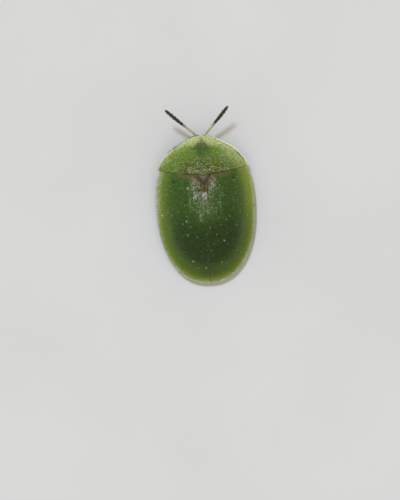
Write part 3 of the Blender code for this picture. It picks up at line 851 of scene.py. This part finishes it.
PRONOTUM_SHADES = (
    (0.0, (94, 112, 44)),
    (0.65, (96, 116, 44)),
    (0.75, (98, 124, 42)),
    (0.82, (104, 131, 40)),
    (0.88, (120, 145, 54)),
    (0.93, (144, 162, 82)),
    (0.975, (194, 200, 146)),
    (1.0, (232, 231, 196)),
)
PRONOTUM_LAYERS = (
    ("base", (80, 102, 34), 0.60),
    ("front", (206, 208, 150), 0.80),
    ("sheen", (208, 214, 148), 0.40),
    ("brown", (98, 98, 48), 0.82),
    ((0.22, 0.50, 0.70), (120, 146, 56), 0.38),
    ((0.11, 0.48, 0.70), (60, 80, 28), 0.42),
    ((0.045, 0.52, 0.68), (152, 170, 92), 0.38),
    ((0.032, 0.50, 0.66), (58, 80, 28), 0.24),
    # Painted shadow of the head seen through the pronotum.
    ("head", (62, 90, 38), 0.88),
    ("brow", (62, 76, 36), 0.22),
    # Painted shade in the creases, then painted light on the crests.
    ("crease", (56, 62, 30), 0.72),
    ("crest", (152, 162, 106), 0.56),
    ("lobe", (104, 100, 66), 0.55),
    ("pit", (58, 74, 32), 0.38),
    # Painted rim light along the pronotum's outer edge.
    ("edge", (250, 248, 214), 0.75),
    ("line", (78, 62, 38), 0.85),
    ("seam", (66, 50, 32), 0.60),
    ("spot", (40, 34, 22), 0.85),
    # Painted glints.
    ("speck", (232, 236, 212), 0.80),
)
SCUTELLUM_LAYERS = (
    ("ripple", (80, 74, 54), 0.35),
    ((0.05, 0.50, 0.70), (124, 122, 104), 0.45),
    ("low", (92, 76, 48), 0.75),
    ("line", (62, 46, 28), 0.86),
)


def plate_finish(name, shades, layers, specular, pore, gloss):
    """The skin of a large plate: shades along its rim mask, layers over them and fine pores."""
    made = Finish(name, shades, PLATE_ROUGHNESS, Specular_IOR_Level=specular, **PLATE_GLOW)
    for row in layers:
        made.layer(*row)
    made.raise_by(made.noise(0.03, 0.3, 0.7), 0.5)
    made.raise_by(made.cells(pore), 0.35)
    made.gloss(0.08, *gloss)
    return made.finish()


def scutellum_finish():
    """Olive grey, browner towards its tip and dark along its sides."""
    made = Finish("scutellum_skin", (98, 95, 76), 0.38, Specular_IOR_Level=0.2)
    for row in SCUTELLUM_LAYERS:
        made.layer(*row)
    made.raise_by(made.noise(0.03), 1.0)
    return made.finish()


def chitin_finish(name, main, deep, light, roughness=0.3):
    """A dark, finely cell-marked shell, lighter where its tone mask says."""
    made = Finish(name, main, roughness, Coat_Weight=0.3, Coat_Roughness=0.15)
    made.layer(made.noise(0.12), deep, 0.6)
    made.layer("tone", light, 1.0)
    made.layer(made.cells(0.035, 0.3, 0.8), deep, 0.35)
    made.raise_by(made.cells(0.03), 0.6)
    made.raise_by(made.noise(0.015), 0.4)
    made.gloss(0.06, roughness - 0.06, roughness + 0.14)
    return made.finish()


def tangent_frames(route):
    """For each point of a route, its direction and two directions square to it."""
    frames = []
    wide = None
    for k in range(len(route)):
        forward = (route[min(k + 1, len(route) - 1)] - route[max(k - 1, 0)]).normalized()
        if wide is None:
            wide = forward.cross(UP if abs(forward.z) < 0.9 else Vector((0, 1, 0)))
        wide = (wide - forward * wide.dot(forward)).normalized()
        frames.append((forward, wide, wide.cross(forward).normalized()))
    return frames


def profile(shape, share):
    """A smooth reading of a shape given as pairs of share and size."""
    for (start, low), (end, high) in zip(shape, shape[1:]):
        if share <= end:
            return mix(low, high, float(smooth((share - start) / (end - start))))
    return shape[-1][1]


def along(points, share):
    """The point at this share of a line through the points, by length."""
    spans = [(b - a).length for a, b in zip(points, points[1:])]
    left = share * sum(spans)
    for start, end, span in zip(points, points[1:], spans):
        if left <= span:
            return start.lerp(end, left / span)
        left -= span
    return points[-1].copy()


def smooth_route(knots, steps):
    """Points on a smooth curve through the knots, with this many steps between two of them."""
    padded = [2 * knots[0] - knots[1], *knots, 2 * knots[-1] - knots[-2]]
    route = []
    for before, start, end, after in zip(padded, padded[1:], padded[2:], padded[3:]):
        for step in range(steps):
            t = step / steps
            bend = (2 * before - 5 * start + 4 * end - after) * t**2
            twist = (3 * start - before - 3 * end + after) * t**3
            route.append((2 * start + (end - before) * t + bend + twist) / 2)
    route.append(knots[-1])
    return route


def ring_faces(rings, sides):
    """Quads round a tube of rings, with a face over either end."""
    faces = []
    for ring in range(rings - 1):
        for turn in range(sides):
            a, b = ring * sides + turn, ring * sides + (turn + 1) % sides
            faces.append((a, b, b + sides, a + sides))
    last = (rings - 1) * sides
    return [*faces, tuple(range(sides)), tuple(range(last, last + sides))]


def unit_sphere(subdivisions):
    """Points and faces of a ball of radius 1."""
    bm = bmesh.new()
    bmesh.ops.create_icosphere(bm, subdivisions=subdivisions, radius=1)
    points = [vert.co.copy() for vert in bm.verts]
    faces = [[vert.index for vert in face.verts] for face in bm.faces]
    bm.free()
    return points, faces


def body_point(side, ahead, height):
    """A place in a shape's own millimetres."""
    return Vector((side, -ahead, height))


class Shape:
    """Gathers closed pieces into one mesh, in millimetres from the body's middle on the floor.

    Each point has a tone from 0 to 1, which its finish reads.
    """

    def __init__(self):
        self.points = []
        self.faces = []
        self.tones = []

    def add(self, points, faces, tones):
        """Takes in one closed piece."""
        start = len(self.points)
        self.points += [tuple(point) for point in points]
        self.faces += [tuple(start + i for i in face) for face in faces]
        self.tones += list(tones)

    def tube(self, route, radii, tones, sides=18, flat=1.0):
        """A closed tube through the route, thinner by flat in its upright direction."""
        points, shades = [], []
        for place, radius, tone, (_, wide, thick) in zip(route, radii, tones, tangent_frames(route)):
            for turn in range(sides):
                angle = math.tau * turn / sides
                out = wide * math.cos(angle) + thick * math.sin(angle) * flat
                points.append(place + out * radius)
                shades.append(tone)
        self.add(points, ring_faces(len(route), sides), shades)

    def segment(self, start, end, shape, tone, steps=12, flat=1.0, bow=0.0, sides=18):
        """One joint of a limb: a body of this profile, bowed upwards, with round ends."""
        length = (end - start).length
        shares = [-0.5 * (math.cos(math.pi * k / steps) - 1) for k in range(steps + 1)]
        route, radii, tones = [], [], []
        for share in shares:
            route.append(start.lerp(end, share) + UP * bow * math.sin(math.pi * share))
            size = profile(shape, share)
            near_end = min(share, 1 - share) * length
            rounding = math.sqrt(max(0.0, 1 - max(0.0, 1 - near_end / size) ** 2))
            radii.append(size * max(LEAST_END, rounding))
            tones.append(tone(share) if callable(tone) else tone)
        self.tube(route, radii, tones, sides, flat)

    def ball(self, centre, half_size, tone, shape=None, subdivisions=3):
        """A rounded lump, bent by shape."""
        sphere, faces = unit_sphere(subdivisions)
        points = []
        for point in sphere:
            local = Vector(a * b for a, b in zip(point, half_size))
            points.append(centre + (shape(local) if shape else local))
        self.add(points, faces, [tone] * len(points))

    def hair(self, root, tip, radius, tone):
        """A fine bristle."""
        _, wide, thick = tangent_frames([root, tip])[0]
        points = []
        for turn in range(3):
            angle = math.tau * turn / 3
            points.append(root + (wide * math.cos(angle) + thick * math.sin(angle)) * radius)
        points.append(tip)
        self.add(points, [(0, 1, 2), (0, 1, 3), (1, 2, 3), (2, 0, 3)], [tone] * 4)

    def settle(self):
        """Flattens whatever would reach below the floor."""
        self.points = [(x, y, max(0.0, z)) for x, y, z in self.points]

    def object(self, name, finish):
        """The finished piece, in the world's metres."""
        points = [(x * MM, MIDDLE + y * MM, z * MM) for x, y, z in self.points]
        return make_mesh(name, points, self.faces, finish, {"tone": self.tones})


# Feelers: the construction's route, with the real, finer joints on it, in millimetres. A
# profile is pairs of share along the joint and size.
LEAST_END = 0.12
ANTENNA_ROUTE = (
    (0.17, 3.28, 0.66),
    (0.21, 3.70, 0.62),
    (0.58, 4.10, 0.80),
    (1.07, 4.57, 1.06),
    (1.60, 5.11, 1.32),
)
ANTENNA_ROUTE_STEPS = 12
ANTENNA_SIDES = 20
ANTENNA_LEAN = 0.12
ANTENNA_SEEDS = {"left": 41, "right": 42}
JOINT_LENGTHS = (0.13, 0.065, 0.09, 0.085, 0.08, 0.075, 0.085, 0.085, 0.085, 0.09, 0.13)
JOINT_RADII = (0.086, 0.070, 0.067, 0.069, 0.073, 0.078, 0.076, 0.090, 0.098, 0.096, 0.084)
JOINT_STEPS = 14
JOINT_FILL = 0.985
JOINT_END = 0.6
STEM_SHAPE = ((0.0, 0.60), (0.18, 0.76), (0.55, 0.90), (0.85, 1.0), (1.0, 0.84))
CLUB_SHAPE = ((0.0, 0.66), (0.14, 0.90), (0.55, 1.0), (0.88, 0.98), (1.0, 0.80))
LAST_SHAPE = ((0.0, 0.80), (0.12, 0.98), (0.35, 1.0), (0.70, 0.74), (1.0, 0.16))
FIRST_DARK_JOINT = 6
STEM_BRISTLES = 10
CLUB_BRISTLES = 46
ANTENNA_BRISTLE_LENGTHS = (0.035, 0.065)
ANTENNA_BRISTLE_RADIUS = 0.0035
ANTENNA_BRISTLE_SINK = 0.9
ANTENNA_BRISTLE_SPREAD = 0.55


def make_antenna(word, sign, finish):
    """A feeler: a pale stem of six joints and a dark, bristly club."""
    rng = np.random.default_rng(ANTENNA_SEEDS[word])
    root, tip = ANTENNA_ROUTE[1][1], ANTENNA_ROUTE[-1][1]
    knots = []
    for side, ahead, height in ANTENNA_ROUTE:
        lean = ANTENNA_LEAN * max(0.0, ahead - root) / (tip - root)
        knots.append(body_point(sign * side + lean, ahead, height))
    route = smooth_route(knots, ANTENNA_ROUTE_STEPS)
    total = sum(JOINT_LENGTHS)
    shape = Shape()
    done = 0.0
    for joint, (length, radius) in enumerate(zip(JOINT_LENGTHS, JOINT_RADII)):
        dark = joint >= FIRST_DARK_JOINT
        last = joint == len(JOINT_LENGTHS) - 1
        outline = LAST_SHAPE if last else (CLUB_SHAPE if dark else STEM_SHAPE)
        body_tone = 0.0 if dark else (0.6 if joint == FIRST_DARK_JOINT - 1 else 1.0)
        places, radii, tones = [], [], []
        for step in range(JOINT_STEPS + 1):
            share = step / JOINT_STEPS
            end = JOINT_END if step in (0, JOINT_STEPS) else 1.0
            places.append(along(route, (done + share * length * JOINT_FILL) / total))
            radii.append(profile(outline, share) * radius * end)
            tones.append(max(body_tone, 0.5 * float(rise(share, 0.07, -0.05))))
        shape.tube(places, radii, tones, ANTENNA_SIDES)
        frames = tangent_frames(places)
        for _ in range(CLUB_BRISTLES if dark else STEM_BRISTLES):
            spot = int(rng.integers(2, JOINT_STEPS - 1))
            forward, wide, thick = frames[spot]
            turn = rng.uniform(0, math.tau)
            out = wide * math.cos(turn) + thick * math.sin(turn)
            root = places[spot] + out * radii[spot] * ANTENNA_BRISTLE_SINK
            lean = (out * ANTENNA_BRISTLE_SPREAD + forward).normalized()
            tip = root + lean * rng.uniform(*ANTENNA_BRISTLE_LENGTHS)
            shape.hair(root, tip, ANTENNA_BRISTLE_RADIUS, 0.3 if dark else 0.9)
        done += length
    obj = shape.object(f"feeler_{word}", finish)
    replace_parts(obj, f"antenna_{word}")
    return obj


# Legs: the construction's hips, knees, ankles and toes, with real joints on them, all in
# millimetres. The thigh's first joints lie at shares of its line, and so do the foot's parts.
LEG_PAIRS = {
    "front": ((0.58, 1.90, 0.62), (1.24, 2.20, 0.62), (1.50, 2.44, 0.17), (1.46, 2.98, 0.10)),
    "mid": ((0.90, 1.02, 0.62), (1.64, 1.00, 0.60), (1.96, 0.86, 0.17), (2.14, 0.38, 0.10)),
    "hind": ((0.90, 0.00, 0.62), (1.58, -0.62, 0.60), (1.80, -1.06, 0.17), (1.84, -1.62, 0.10)),
}
LEG_SEEDS = {"front": 50, "mid": 60, "hind": 70}
COXA_HALF_SIZE = (0.25, 0.17, 0.17)
COXA_SHARE = -0.16
COXA_LIFT = 0.07
TROCHANTER_SHARES = (-0.04, 0.18)
TROCHANTER_SHAPE = ((0.0, 0.085), (0.6, 0.10), (1.0, 0.08))
FEMUR_START = 0.12
FEMUR_BOW = 0.02
FEMUR_SHAPE = ((0.0, 0.075), (0.3, 0.135), (0.55, 0.15), (0.85, 0.11), (1.0, 0.08))
TIBIA_SHAPE = ((0.0, 0.055), (0.12, 0.07), (0.55, 0.082), (0.88, 0.105), (1.0, 0.09))
TARSUS_SHAPE = ((0.0, 0.05), (0.5, 0.085), (0.85, 0.105), (1.0, 0.09))
TARSUS_SHARES = ((-0.10, 0.24), (0.20, 0.46))
TARSUS_LEVEL = 0.085
PAD_PLACE = (0.60, 0.075, 0.055)
PAD_HALF_SIZE = (0.13, 0.095, 0.07)
PAD_BRISTLES = 26
PAD_BRISTLE_LENGTHS = (0.03, 0.05)
PAD_BRISTLE_SWEEP = (-0.4, math.pi * 0.75)
PAD_BRISTLE_REACH = 0.09
PAD_BRISTLE_FALL = 0.02
CLAW_SHARES = (0.46, 0.92)
CLAW_LEVEL = 0.10
CLAW_JOINT_SHAPE = ((0.0, 0.028), (0.5, 0.034), (1.0, 0.048))
CLAW_HOOK = ((0.0, 0.02, 0.0), (0.05, 0.055, 0.005), (0.10, 0.075, -0.07))
CLAW_RADII = (0.020, 0.004)
SHIN_BRISTLES = 60
SHIN_BRISTLE_LENGTHS = (0.04, 0.07)
SHIN_BRISTLE_SHARES = (0.35, 1.0)
SHIN_BRISTLE_SINK = 0.75
SHIN_BRISTLE_LEAN = 1.6
BRISTLE_RADIUS = 0.004


def make_leg(pair, word, sign, finish):
    """Coxa, trochanter, femur, tibia and a foot of padded joints with two claws."""
    rng = np.random.default_rng(LEG_SEEDS[pair] + (sign > 0))
    hip, knee, ankle, toe = (
        body_point(sign * side, ahead, height) for side, ahead, height in LEG_PAIRS[pair]
    )
    shape = Shape()
    thigh = knee - hip
    thigh_side = Vector((thigh.y, -thigh.x, 0)).normalized()
    inward = Matrix((thigh.normalized(), thigh_side, UP)).transposed()
    shape.ball(hip + thigh * COXA_SHARE + UP * COXA_LIFT, COXA_HALF_SIZE, 0.0, lambda p: inward @ p)
    start, end = (hip + thigh * share for share in TROCHANTER_SHARES)
    shape.segment(start, end, TROCHANTER_SHAPE, tone=0.1)

    def femur_tone(share):
        return 0.15 + 0.8 * float(rise(share, 0.20, 0.35))

    start = hip + thigh * FEMUR_START
    shape.segment(start, knee, FEMUR_SHAPE, femur_tone, steps=18, flat=0.82, bow=FEMUR_BOW)
    shape.segment(knee, ankle, TIBIA_SHAPE, tone=0.95, steps=18, flat=0.85)
    tread = Vector((toe.x - ankle.x, toe.y - ankle.y, 0))
    forward = tread.normalized()
    sideways = Vector((-forward.y, forward.x, 0))
    sole = Vector((ankle.x, ankle.y, 0))

    def turned(local):
        return forward * local.x + sideways * local.y + UP * local.z

    for shares in TARSUS_SHARES:
        start, end = (sole + tread * share + UP * TARSUS_LEVEL for share in shares)
        shape.segment(start, end, TARSUS_SHAPE, tone=0.85, flat=0.72)
    for lean in (-1, 1):
        share, spread, level = PAD_PLACE
        centre = sole + tread * share + sideways * lean * spread + UP * level
        shape.ball(centre, PAD_HALF_SIZE, 0.75, turned, subdivisions=4)
        for _ in range(PAD_BRISTLES):
            angle = rng.uniform(*PAD_BRISTLE_SWEEP)
            out = forward * math.cos(angle) + sideways * lean * math.sin(angle)
            root = centre + out * PAD_BRISTLE_REACH - UP * PAD_BRISTLE_FALL
            tip = root + out * rng.uniform(*PAD_BRISTLE_LENGTHS) - UP * PAD_BRISTLE_FALL
            shape.hair(root, tip, BRISTLE_RADIUS, 1.0)
    claw_root, claw_base = (sole + tread * share + UP * CLAW_LEVEL for share in CLAW_SHARES)
    shape.segment(claw_root, claw_base, CLAW_JOINT_SHAPE, tone=0.6, steps=10)
    for lean in (-1, 1):
        knots = [claw_base + turned(Vector((reach, lean * out, up))) for reach, out, up in CLAW_HOOK]
        hook = smooth_route(knots, 5)
        radii = [mix(*CLAW_RADII, k / (len(hook) - 1)) for k in range(len(hook))]
        shape.tube(hook, radii, [0.2] * len(hook), 10)
    down = (ankle - knee).normalized()
    across = down.cross(sideways).normalized()
    for _ in range(SHIN_BRISTLES):
        share = rng.uniform(*SHIN_BRISTLE_SHARES)
        angle = rng.uniform(0, math.tau)
        out = (sideways * math.cos(angle) + across * math.sin(angle)).normalized()
        root = knee.lerp(ankle, share) + out * profile(TIBIA_SHAPE, share) * SHIN_BRISTLE_SINK
        lean = (out + down * SHIN_BRISTLE_LEAN).normalized()
        tip = root + lean * rng.uniform(*SHIN_BRISTLE_LENGTHS)
        shape.hair(root, tip, BRISTLE_RADIUS, 1.0)
    shape.settle()
    obj = shape.object(f"limb_{pair}_{word}", finish)
    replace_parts(obj, f"leg_{pair}_{word}")
    return obj


# Trunk: belly heights and widths, filled up to just under the thin shield. Its pieces run from
# their front to their hind end, and a share says how far along. Widths are the half width in
# front, the full one, both in millimetres, and the share over which it is reached.
TRUNK_CLEARANCE = 0.13 * MM
TRUNK_EDGE = 0.05 * MM
TRUNK_LEAST_WIDTH = 0.2 * MM
TRUNK_WIDTH_STEP = 0.01 * MM
TRUNK_SIDE_POWER = 0.8
TRUNK_UP_POWER = 0.5
TRUNK_END_HEIGHT = 0.3
KEEL_HEIGHT = 0.60 * MM
BELLY_SHOULDER = 0.60 * MM
PROTHORAX_AHEAD = (2.55 * MM, 1.60 * MM)
THORAX_AHEAD = (1.58 * MM, -0.20 * MM)
ABDOMEN_AHEAD = (-0.22 * MM, -2.95 * MM)
PROTHORAX_WIDTHS = (0.82, 1.16, 0.6)
THORAX_WIDTHS = (1.34, 1.66, 0.55)
ABDOMEN_WIDTHS = (1.68, 1.78, 0.4)
VENTRITE_SHARES = (0.0, 0.36, 0.53, 0.68, 0.82, 1.0)
VENTRITE_STEP = 0.05 * MM
LEAST_FULLNESS = 0.12


def roof_height(side, ahead):
    """Highest that the trunk may reach under the shield, measured square to its slope."""
    normal = shield_normal(np.asarray(side), np.asarray(ahead))
    return float(shield_height(side, ahead) - TRUNK_CLEARANCE / normal[..., 2])


def belly_height(side, keel, lift):
    """Underside of the trunk, lowest along its middle."""
    return KEEL_HEIGHT + lift * float(rise(abs(side), keel, BELLY_SHOULDER))


def end_fullness(share, front, rear):
    """1 along a body's middle, and less over its rounded ends."""
    near = min(share / front, (1 - share) / rear, 1.0)
    return max(LEAST_FULLNESS, math.sqrt(max(0.0, 1 - (1 - near) ** 2)))


def trunk_piece(name, node, span, widths, ends, belly, tone, grid, finish):
    """A closed body through cross sections between a belly and the underside of the shield."""
    stations, around = grid
    front_width, full_width, run = widths
    points, tones = [], []
    for row in range(stations):
        share = row / (stations - 1)
        ahead = mix(*span, share)
        fullness = end_fullness(share, *ends)
        limit = mix(front_width, full_width, float(rise(share, 0, run))) * MM * fullness
        while limit > TRUNK_LEAST_WIDTH and roof_height(limit, ahead) < belly(limit, share) + TRUNK_EDGE:
            limit -= TRUNK_WIDTH_STEP
        for turn in range(around):
            angle = math.tau * turn / around
            side = limit * math.copysign(abs(math.cos(angle)) ** TRUNK_SIDE_POWER, math.cos(angle))
            up = math.copysign(abs(math.sin(angle)) ** TRUNK_UP_POWER, math.sin(angle)) / 2
            low, high = belly(side, share), roof_height(side, ahead)
            height = (low + high) / 2 + up * (high - low) * mix(TRUNK_END_HEIGHT, 1, fullness)
            points.append((side, MIDDLE - ahead, height))
            tones.append(tone(abs(side) / limit, share, 0.5 + up))
    obj = make_mesh(name, points, ring_faces(stations, around), finish, {"tone": tones})
    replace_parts(obj, node)
    return obj


def make_trunk(finish):
    """Prothorax, thorax and abdomen, with ringed ventrites and a pale border."""

    def fore_belly(side, share):
        process = 0.06 * MM * bump(side, 0, 0.16 * MM) * share
        return belly_height(side, 0.12 * MM, 0.34 * MM) - process

    def fore_tone(_across, share, _up):
        return 0.35 * float(rise(share, 0.15, -0.1))

    def chest_belly(side, share):
        cross = 0.06 * MM * bump(share, 0.42, 0.025)
        groove = 0.03 * MM * bump(side, 0, 0.03 * MM) * rise(share, 0.5, 0.1)
        plate = 0.03 * MM * bump(abs(side), (0.62 + 0.5 * share) * MM, 0.025 * MM)
        return belly_height(side, 0.42 * MM, 0.30 * MM) + cross + groove + plate

    def chest_tone(_across, _share, _up):
        return 0.0

    def ring_dip(share):
        rings = zip(VENTRITE_SHARES, VENTRITE_SHARES[1:])
        start, end = next(ring for ring in rings if share <= ring[1] or ring[1] == 1.0)
        step = (share - start) / (end - start)
        return VENTRITE_STEP * (step**1.5) * float(rise(share, 1, -0.125))

    def tail_belly(side, share):
        lift = mix(0.30 * MM, 0.08 * MM, float(rise(share, 0, 0.45)))
        bulge = 0.03 * MM * bump(abs(side), 0.9 * MM, 0.25 * MM)
        return belly_height(side, 0.55 * MM, lift) - ring_dip(share) - 0.05 * MM * share + bulge

    def tail_tone(across, share, up):
        return float(rise(across, 0.80, 0.12)) * (1 - up) * (0.5 + 0.5 * share)

    fore = (PROTHORAX_AHEAD, PROTHORAX_WIDTHS, (0.35, 0.12), fore_belly, fore_tone, (60, 96))
    chest = (THORAX_AHEAD, THORAX_WIDTHS, (0.10, 0.05), chest_belly, chest_tone, (130, 144))
    tail = (ABDOMEN_AHEAD, ABDOMEN_WIDTHS, (0.04, 0.62), tail_belly, tail_tone, (180, 144))
    return [
        trunk_piece("fore_body", "prothorax", *fore, finish),
        trunk_piece("chest", "thorax", *chest, finish),
        trunk_piece("belly", "abdomen", *tail, finish),
    ]


# Head and eyes, in millimetres. Jaw, palps and feeler sockets are given on the beetle's left,
# the first two from the mouth and the sockets from the head's middle.
HEAD_CENTRE = (0, 2.84, 0.80)
HEAD_HALF_SIZE = (0.52, 0.38, 0.38)
FACE_SLOPE = 0.55
BROW_GROOVE_DEPTH = 0.02
MOUTH_DROP = 0.33
LIP_PLACE = (0, -0.03, 0.03)
LIP_HALF_SIZE = (0.25, 0.12, 0.09)
JAW_PLACE = (0.09, 0.02, -0.07)
JAW_HALF_SIZE = (0.08, 0.09, 0.06)
PALP_ROUTE = ((0.18, 0.04, 0.0), (0.23, 0.08, -0.06), (0.26, 0.06, -0.12), (0.25, -0.01, -0.17))
PALP_SHAPE = ((0.0, 0.026), (0.7, 0.036), (1.0, 0.026))
SOCKET_PLACE = (0.19, -0.30, 0.10)
SOCKET_HALF_SIZE = (0.10, 0.09, 0.10)
EYE_PLACE = (0.40, 2.88, 0.82)
EYE_HALF_SIZE = (0.20, 0.22, 0.29)
EYE_SUBDIVISIONS = 6
FACET_COUNT = 620
FACET_DEPTH = 0.006
FACET_REACH = 0.55


def sloped(local):
    """Leans a piece of the head, so that the face looks down and forward."""
    return Vector((local.x, local.y - FACE_SLOPE * local.z, local.z))


def face(local):
    """The sloping face, with a groove either side of the brow's middle."""
    groove = bump(abs(local.x) - 0.35 * max(0.0, local.z), 0.10, 0.03)
    front = 1.0 if local.y < 0 else 0.0
    return sloped(Vector((local.x, local.y + BROW_GROOVE_DEPTH * groove * front, local.z)))


def make_head(finish):
    """Head with brow grooves, clypeus, upper lip, jaws and palps."""
    centre = body_point(*HEAD_CENTRE)
    shape = Shape()

    def sided(sign, place):
        return Vector((sign * place[0], place[1], place[2]))

    shape.ball(centre, HEAD_HALF_SIZE, 0.0, face, subdivisions=5)
    mouth = centre + sloped(UP * -MOUTH_DROP)
    shape.ball(mouth + Vector(LIP_PLACE), LIP_HALF_SIZE, 0.5, subdivisions=4)
    for sign in (1, -1):
        shape.ball(mouth + sided(sign, JAW_PLACE), JAW_HALF_SIZE, 0.25)
        palp = [mouth + sided(sign, place) for place in PALP_ROUTE]
        for start, end in zip(palp, palp[1:]):
            shape.segment(start, end, PALP_SHAPE, tone=0.8, steps=8, sides=12)
        shape.ball(centre + sloped(sided(sign, SOCKET_PLACE)), SOCKET_HALF_SIZE, 0.35)
    obj = shape.object("head_capsule", finish)
    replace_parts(obj, "head")
    return obj


def make_eye(word, sign, finish):
    """One bulging eye, raised in small facets that follow a spiral over it."""
    turns = np.arange(FACET_COUNT) + 0.5
    tilt = np.arccos(1 - 2 * turns / FACET_COUNT)
    spin = math.pi * (1 + math.sqrt(5)) * turns
    facets = np.stack([np.sin(tilt) * np.cos(spin), np.sin(tilt) * np.sin(spin), np.cos(tilt)], axis=1)
    points, faces = unit_sphere(EYE_SUBDIVISIONS)
    sphere = np.array(points)
    spacing = math.sqrt(4 * math.pi / FACET_COUNT)
    closest = np.sqrt(np.maximum(0, 2 - 2 * (sphere @ facets.T).max(axis=1)))
    from_facet = closest / (FACET_REACH * spacing)
    relief = 1 - FACET_DEPTH / EYE_HALF_SIZE[0] * from_facet**2
    local = sphere * np.array(EYE_HALF_SIZE) * relief[:, None]
    centre = body_point(sign * EYE_PLACE[0], *EYE_PLACE[1:])
    shape = Shape()
    tones = 0.5 * rise(from_facet, 0.7, 0.3)
    shape.add([centre + sloped(Vector(point)) for point in local], faces, tones)
    obj = shape.object(f"eyeball_{word}", finish)
    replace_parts(obj, f"eye_{word}")
    return obj


# The photograph: its size, its scale on the beetle, where the body's middle lies in it, and how
# far the body leans to the left of upright.
PHOTO_WIDTH = 400
PHOTO_HEIGHT = 500
PIXELS_PER_MM = 19.84
BODY_MIDDLE_PIXEL = (205.5, 209.2)
BODY_TURN = math.radians(3.8)
CAMERA_HEIGHT = 220 * MM
SCALE_LEVEL = 0.8 * MM
SENSOR = 36.0


def image_axes():
    """The directions in the world that point right and up in the picture."""
    right = Vector((-math.cos(BODY_TURN), math.sin(BODY_TURN), 0))
    up = Vector((-math.sin(BODY_TURN), -math.cos(BODY_TURN), 0))
    return right, up


def make_camera():
    """Looks straight down, with the body where the photograph has it."""
    right, up = image_axes()
    off_right = (PHOTO_WIDTH / 2 - BODY_MIDDLE_PIXEL[0]) / PIXELS_PER_MM * MM
    off_up = (BODY_MIDDLE_PIXEL[1] - PHOTO_HEIGHT / 2) / PIXELS_PER_MM * MM
    target = Vector((0, MIDDLE, 0)) + right * off_right + up * off_up
    data = bpy.data.cameras.new("camera")
    data.sensor_fit = "VERTICAL"
    data.sensor_height = SENSOR
    view_height = PHOTO_HEIGHT / PIXELS_PER_MM * MM
    data.lens = SENSOR * (CAMERA_HEIGHT - SCALE_LEVEL) / view_height
    data.clip_start = 10 * MM
    data.clip_end = 2.0
    camera = new_object("camera", data)
    turn = Matrix((right, up, UP)).transposed().to_4x4()
    camera.matrix_world = Matrix.Translation((target.x, target.y, CAMERA_HEIGHT)) @ turn
    bpy.context.scene.camera = camera


# Studio. The sun's fall is given by its parts to the right and up in the picture.
FLOOR_SIZE = 0.6
FLOOR_SHADE = (221, 221, 220)
FLOOR_PATCHES = (9, 0.4, 0.6), (212, 212, 210), 0.35
SUN_STRENGTH = 1.60
SUN_WIDTH = math.radians(10)
SUN_ELEVATION = math.radians(54)
SUN_COLOUR = (0.70, 0.84, 1.0)
SUN_FALL = (0.45, -0.89)
SKY_STRENGTH = 0.67
SKY_COLOUR = (1.0, 0.914, 0.814, 1.0)


def make_studio():
    """A pale floor, an even sky and one soft sun from the upper left."""
    made = Finish("floor_paper", FLOOR_SHADE, 0.8, Specular_IOR_Level=0.2)
    made.layer(*FLOOR_PATCHES)
    mesh = bpy.data.meshes.new("floor")
    half = FLOOR_SIZE / 2
    corners = [(-half, -half, 0), (half, -half, 0), (half, half, 0), (-half, half, 0)]
    mesh.from_pydata(corners, [], [(0, 1, 2, 3)])
    mesh.materials.append(made.finish())
    floor = new_object("floor", mesh)

    right, up = image_axes()
    fall = (right * SUN_FALL[0] + up * SUN_FALL[1]).normalized() * math.cos(SUN_ELEVATION)
    fall.z = -math.sin(SUN_ELEVATION)
    data = bpy.data.lights.new("sun", "SUN")
    data.energy = SUN_STRENGTH
    data.angle = SUN_WIDTH
    data.color = SUN_COLOUR
    sun = new_object("sun", data)
    sun.rotation_euler = fall.to_track_quat("-Z", "Y").to_euler()

    world = bpy.data.worlds.new("sky")
    world.use_nodes = True
    background = world.node_tree.nodes["Background"]
    background.inputs["Color"].default_value = SKY_COLOUR
    background.inputs["Strength"].default_value = SKY_STRENGTH
    bpy.context.scene.world = world
    bpy.context.scene.view_settings.view_transform = "Standard"


def make_beetle():
    """Every piece of the beetle, riding on its one body."""
    shell = plate_finish("elytron_skin", ELYTRON_SHADES, ELYTRON_LAYERS, 0.11, 0.022, (0.32, 0.5))
    skin = plate_finish("pronotum_skin", PRONOTUM_SHADES, PRONOTUM_LAYERS, 0.13, 0.02, (0.34, 0.52))
    grid = elytron_grid()
    pieces = []
    for word, sign in SIDES:
        case = shield_plate(f"wing_case_{word}", grid, sign, elytron_relief, shell)
        pieces.append(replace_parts(case, f"elytron_{word}"))
    neck = shield_plate("neck_shield", pronotum_grid(), 1, pronotum_relief, skin, neck_bend)
    pieces.append(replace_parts(neck, "pronotum"))
    wedge = shield_plate("wedge", scutellum_grid(), 1, scutellum_relief, scutellum_finish())
    pieces.append(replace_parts(wedge, "scutellum"))

    pieces += make_trunk(chitin_finish("belly_shell", (34, 34, 26), (18, 18, 14), (132, 128, 60)))
    pieces.append(make_head(chitin_finish("head_shell", (44, 42, 28), (22, 20, 14), (120, 100, 48))))
    eye = chitin_finish("eye_shell", (20, 18, 16), (12, 11, 10), (60, 56, 46), 0.14)
    feeler = chitin_finish("feeler_shell", (48, 42, 30), (28, 24, 17), (204, 194, 164), 0.45)
    limb = chitin_finish("limb_shell", (40, 38, 24), (120, 110, 46), (158, 156, 78), 0.32)
    for word, sign in SIDES:
        pieces.append(make_eye(word, sign, eye))
        pieces.append(make_antenna(word, sign, feeler))
        for pair in LEG_PAIRS:
            pieces.append(make_leg(pair, word, sign, limb))
    for piece in pieces:
        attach(piece, "root")


make_camera()
make_studio()
make_beetle()
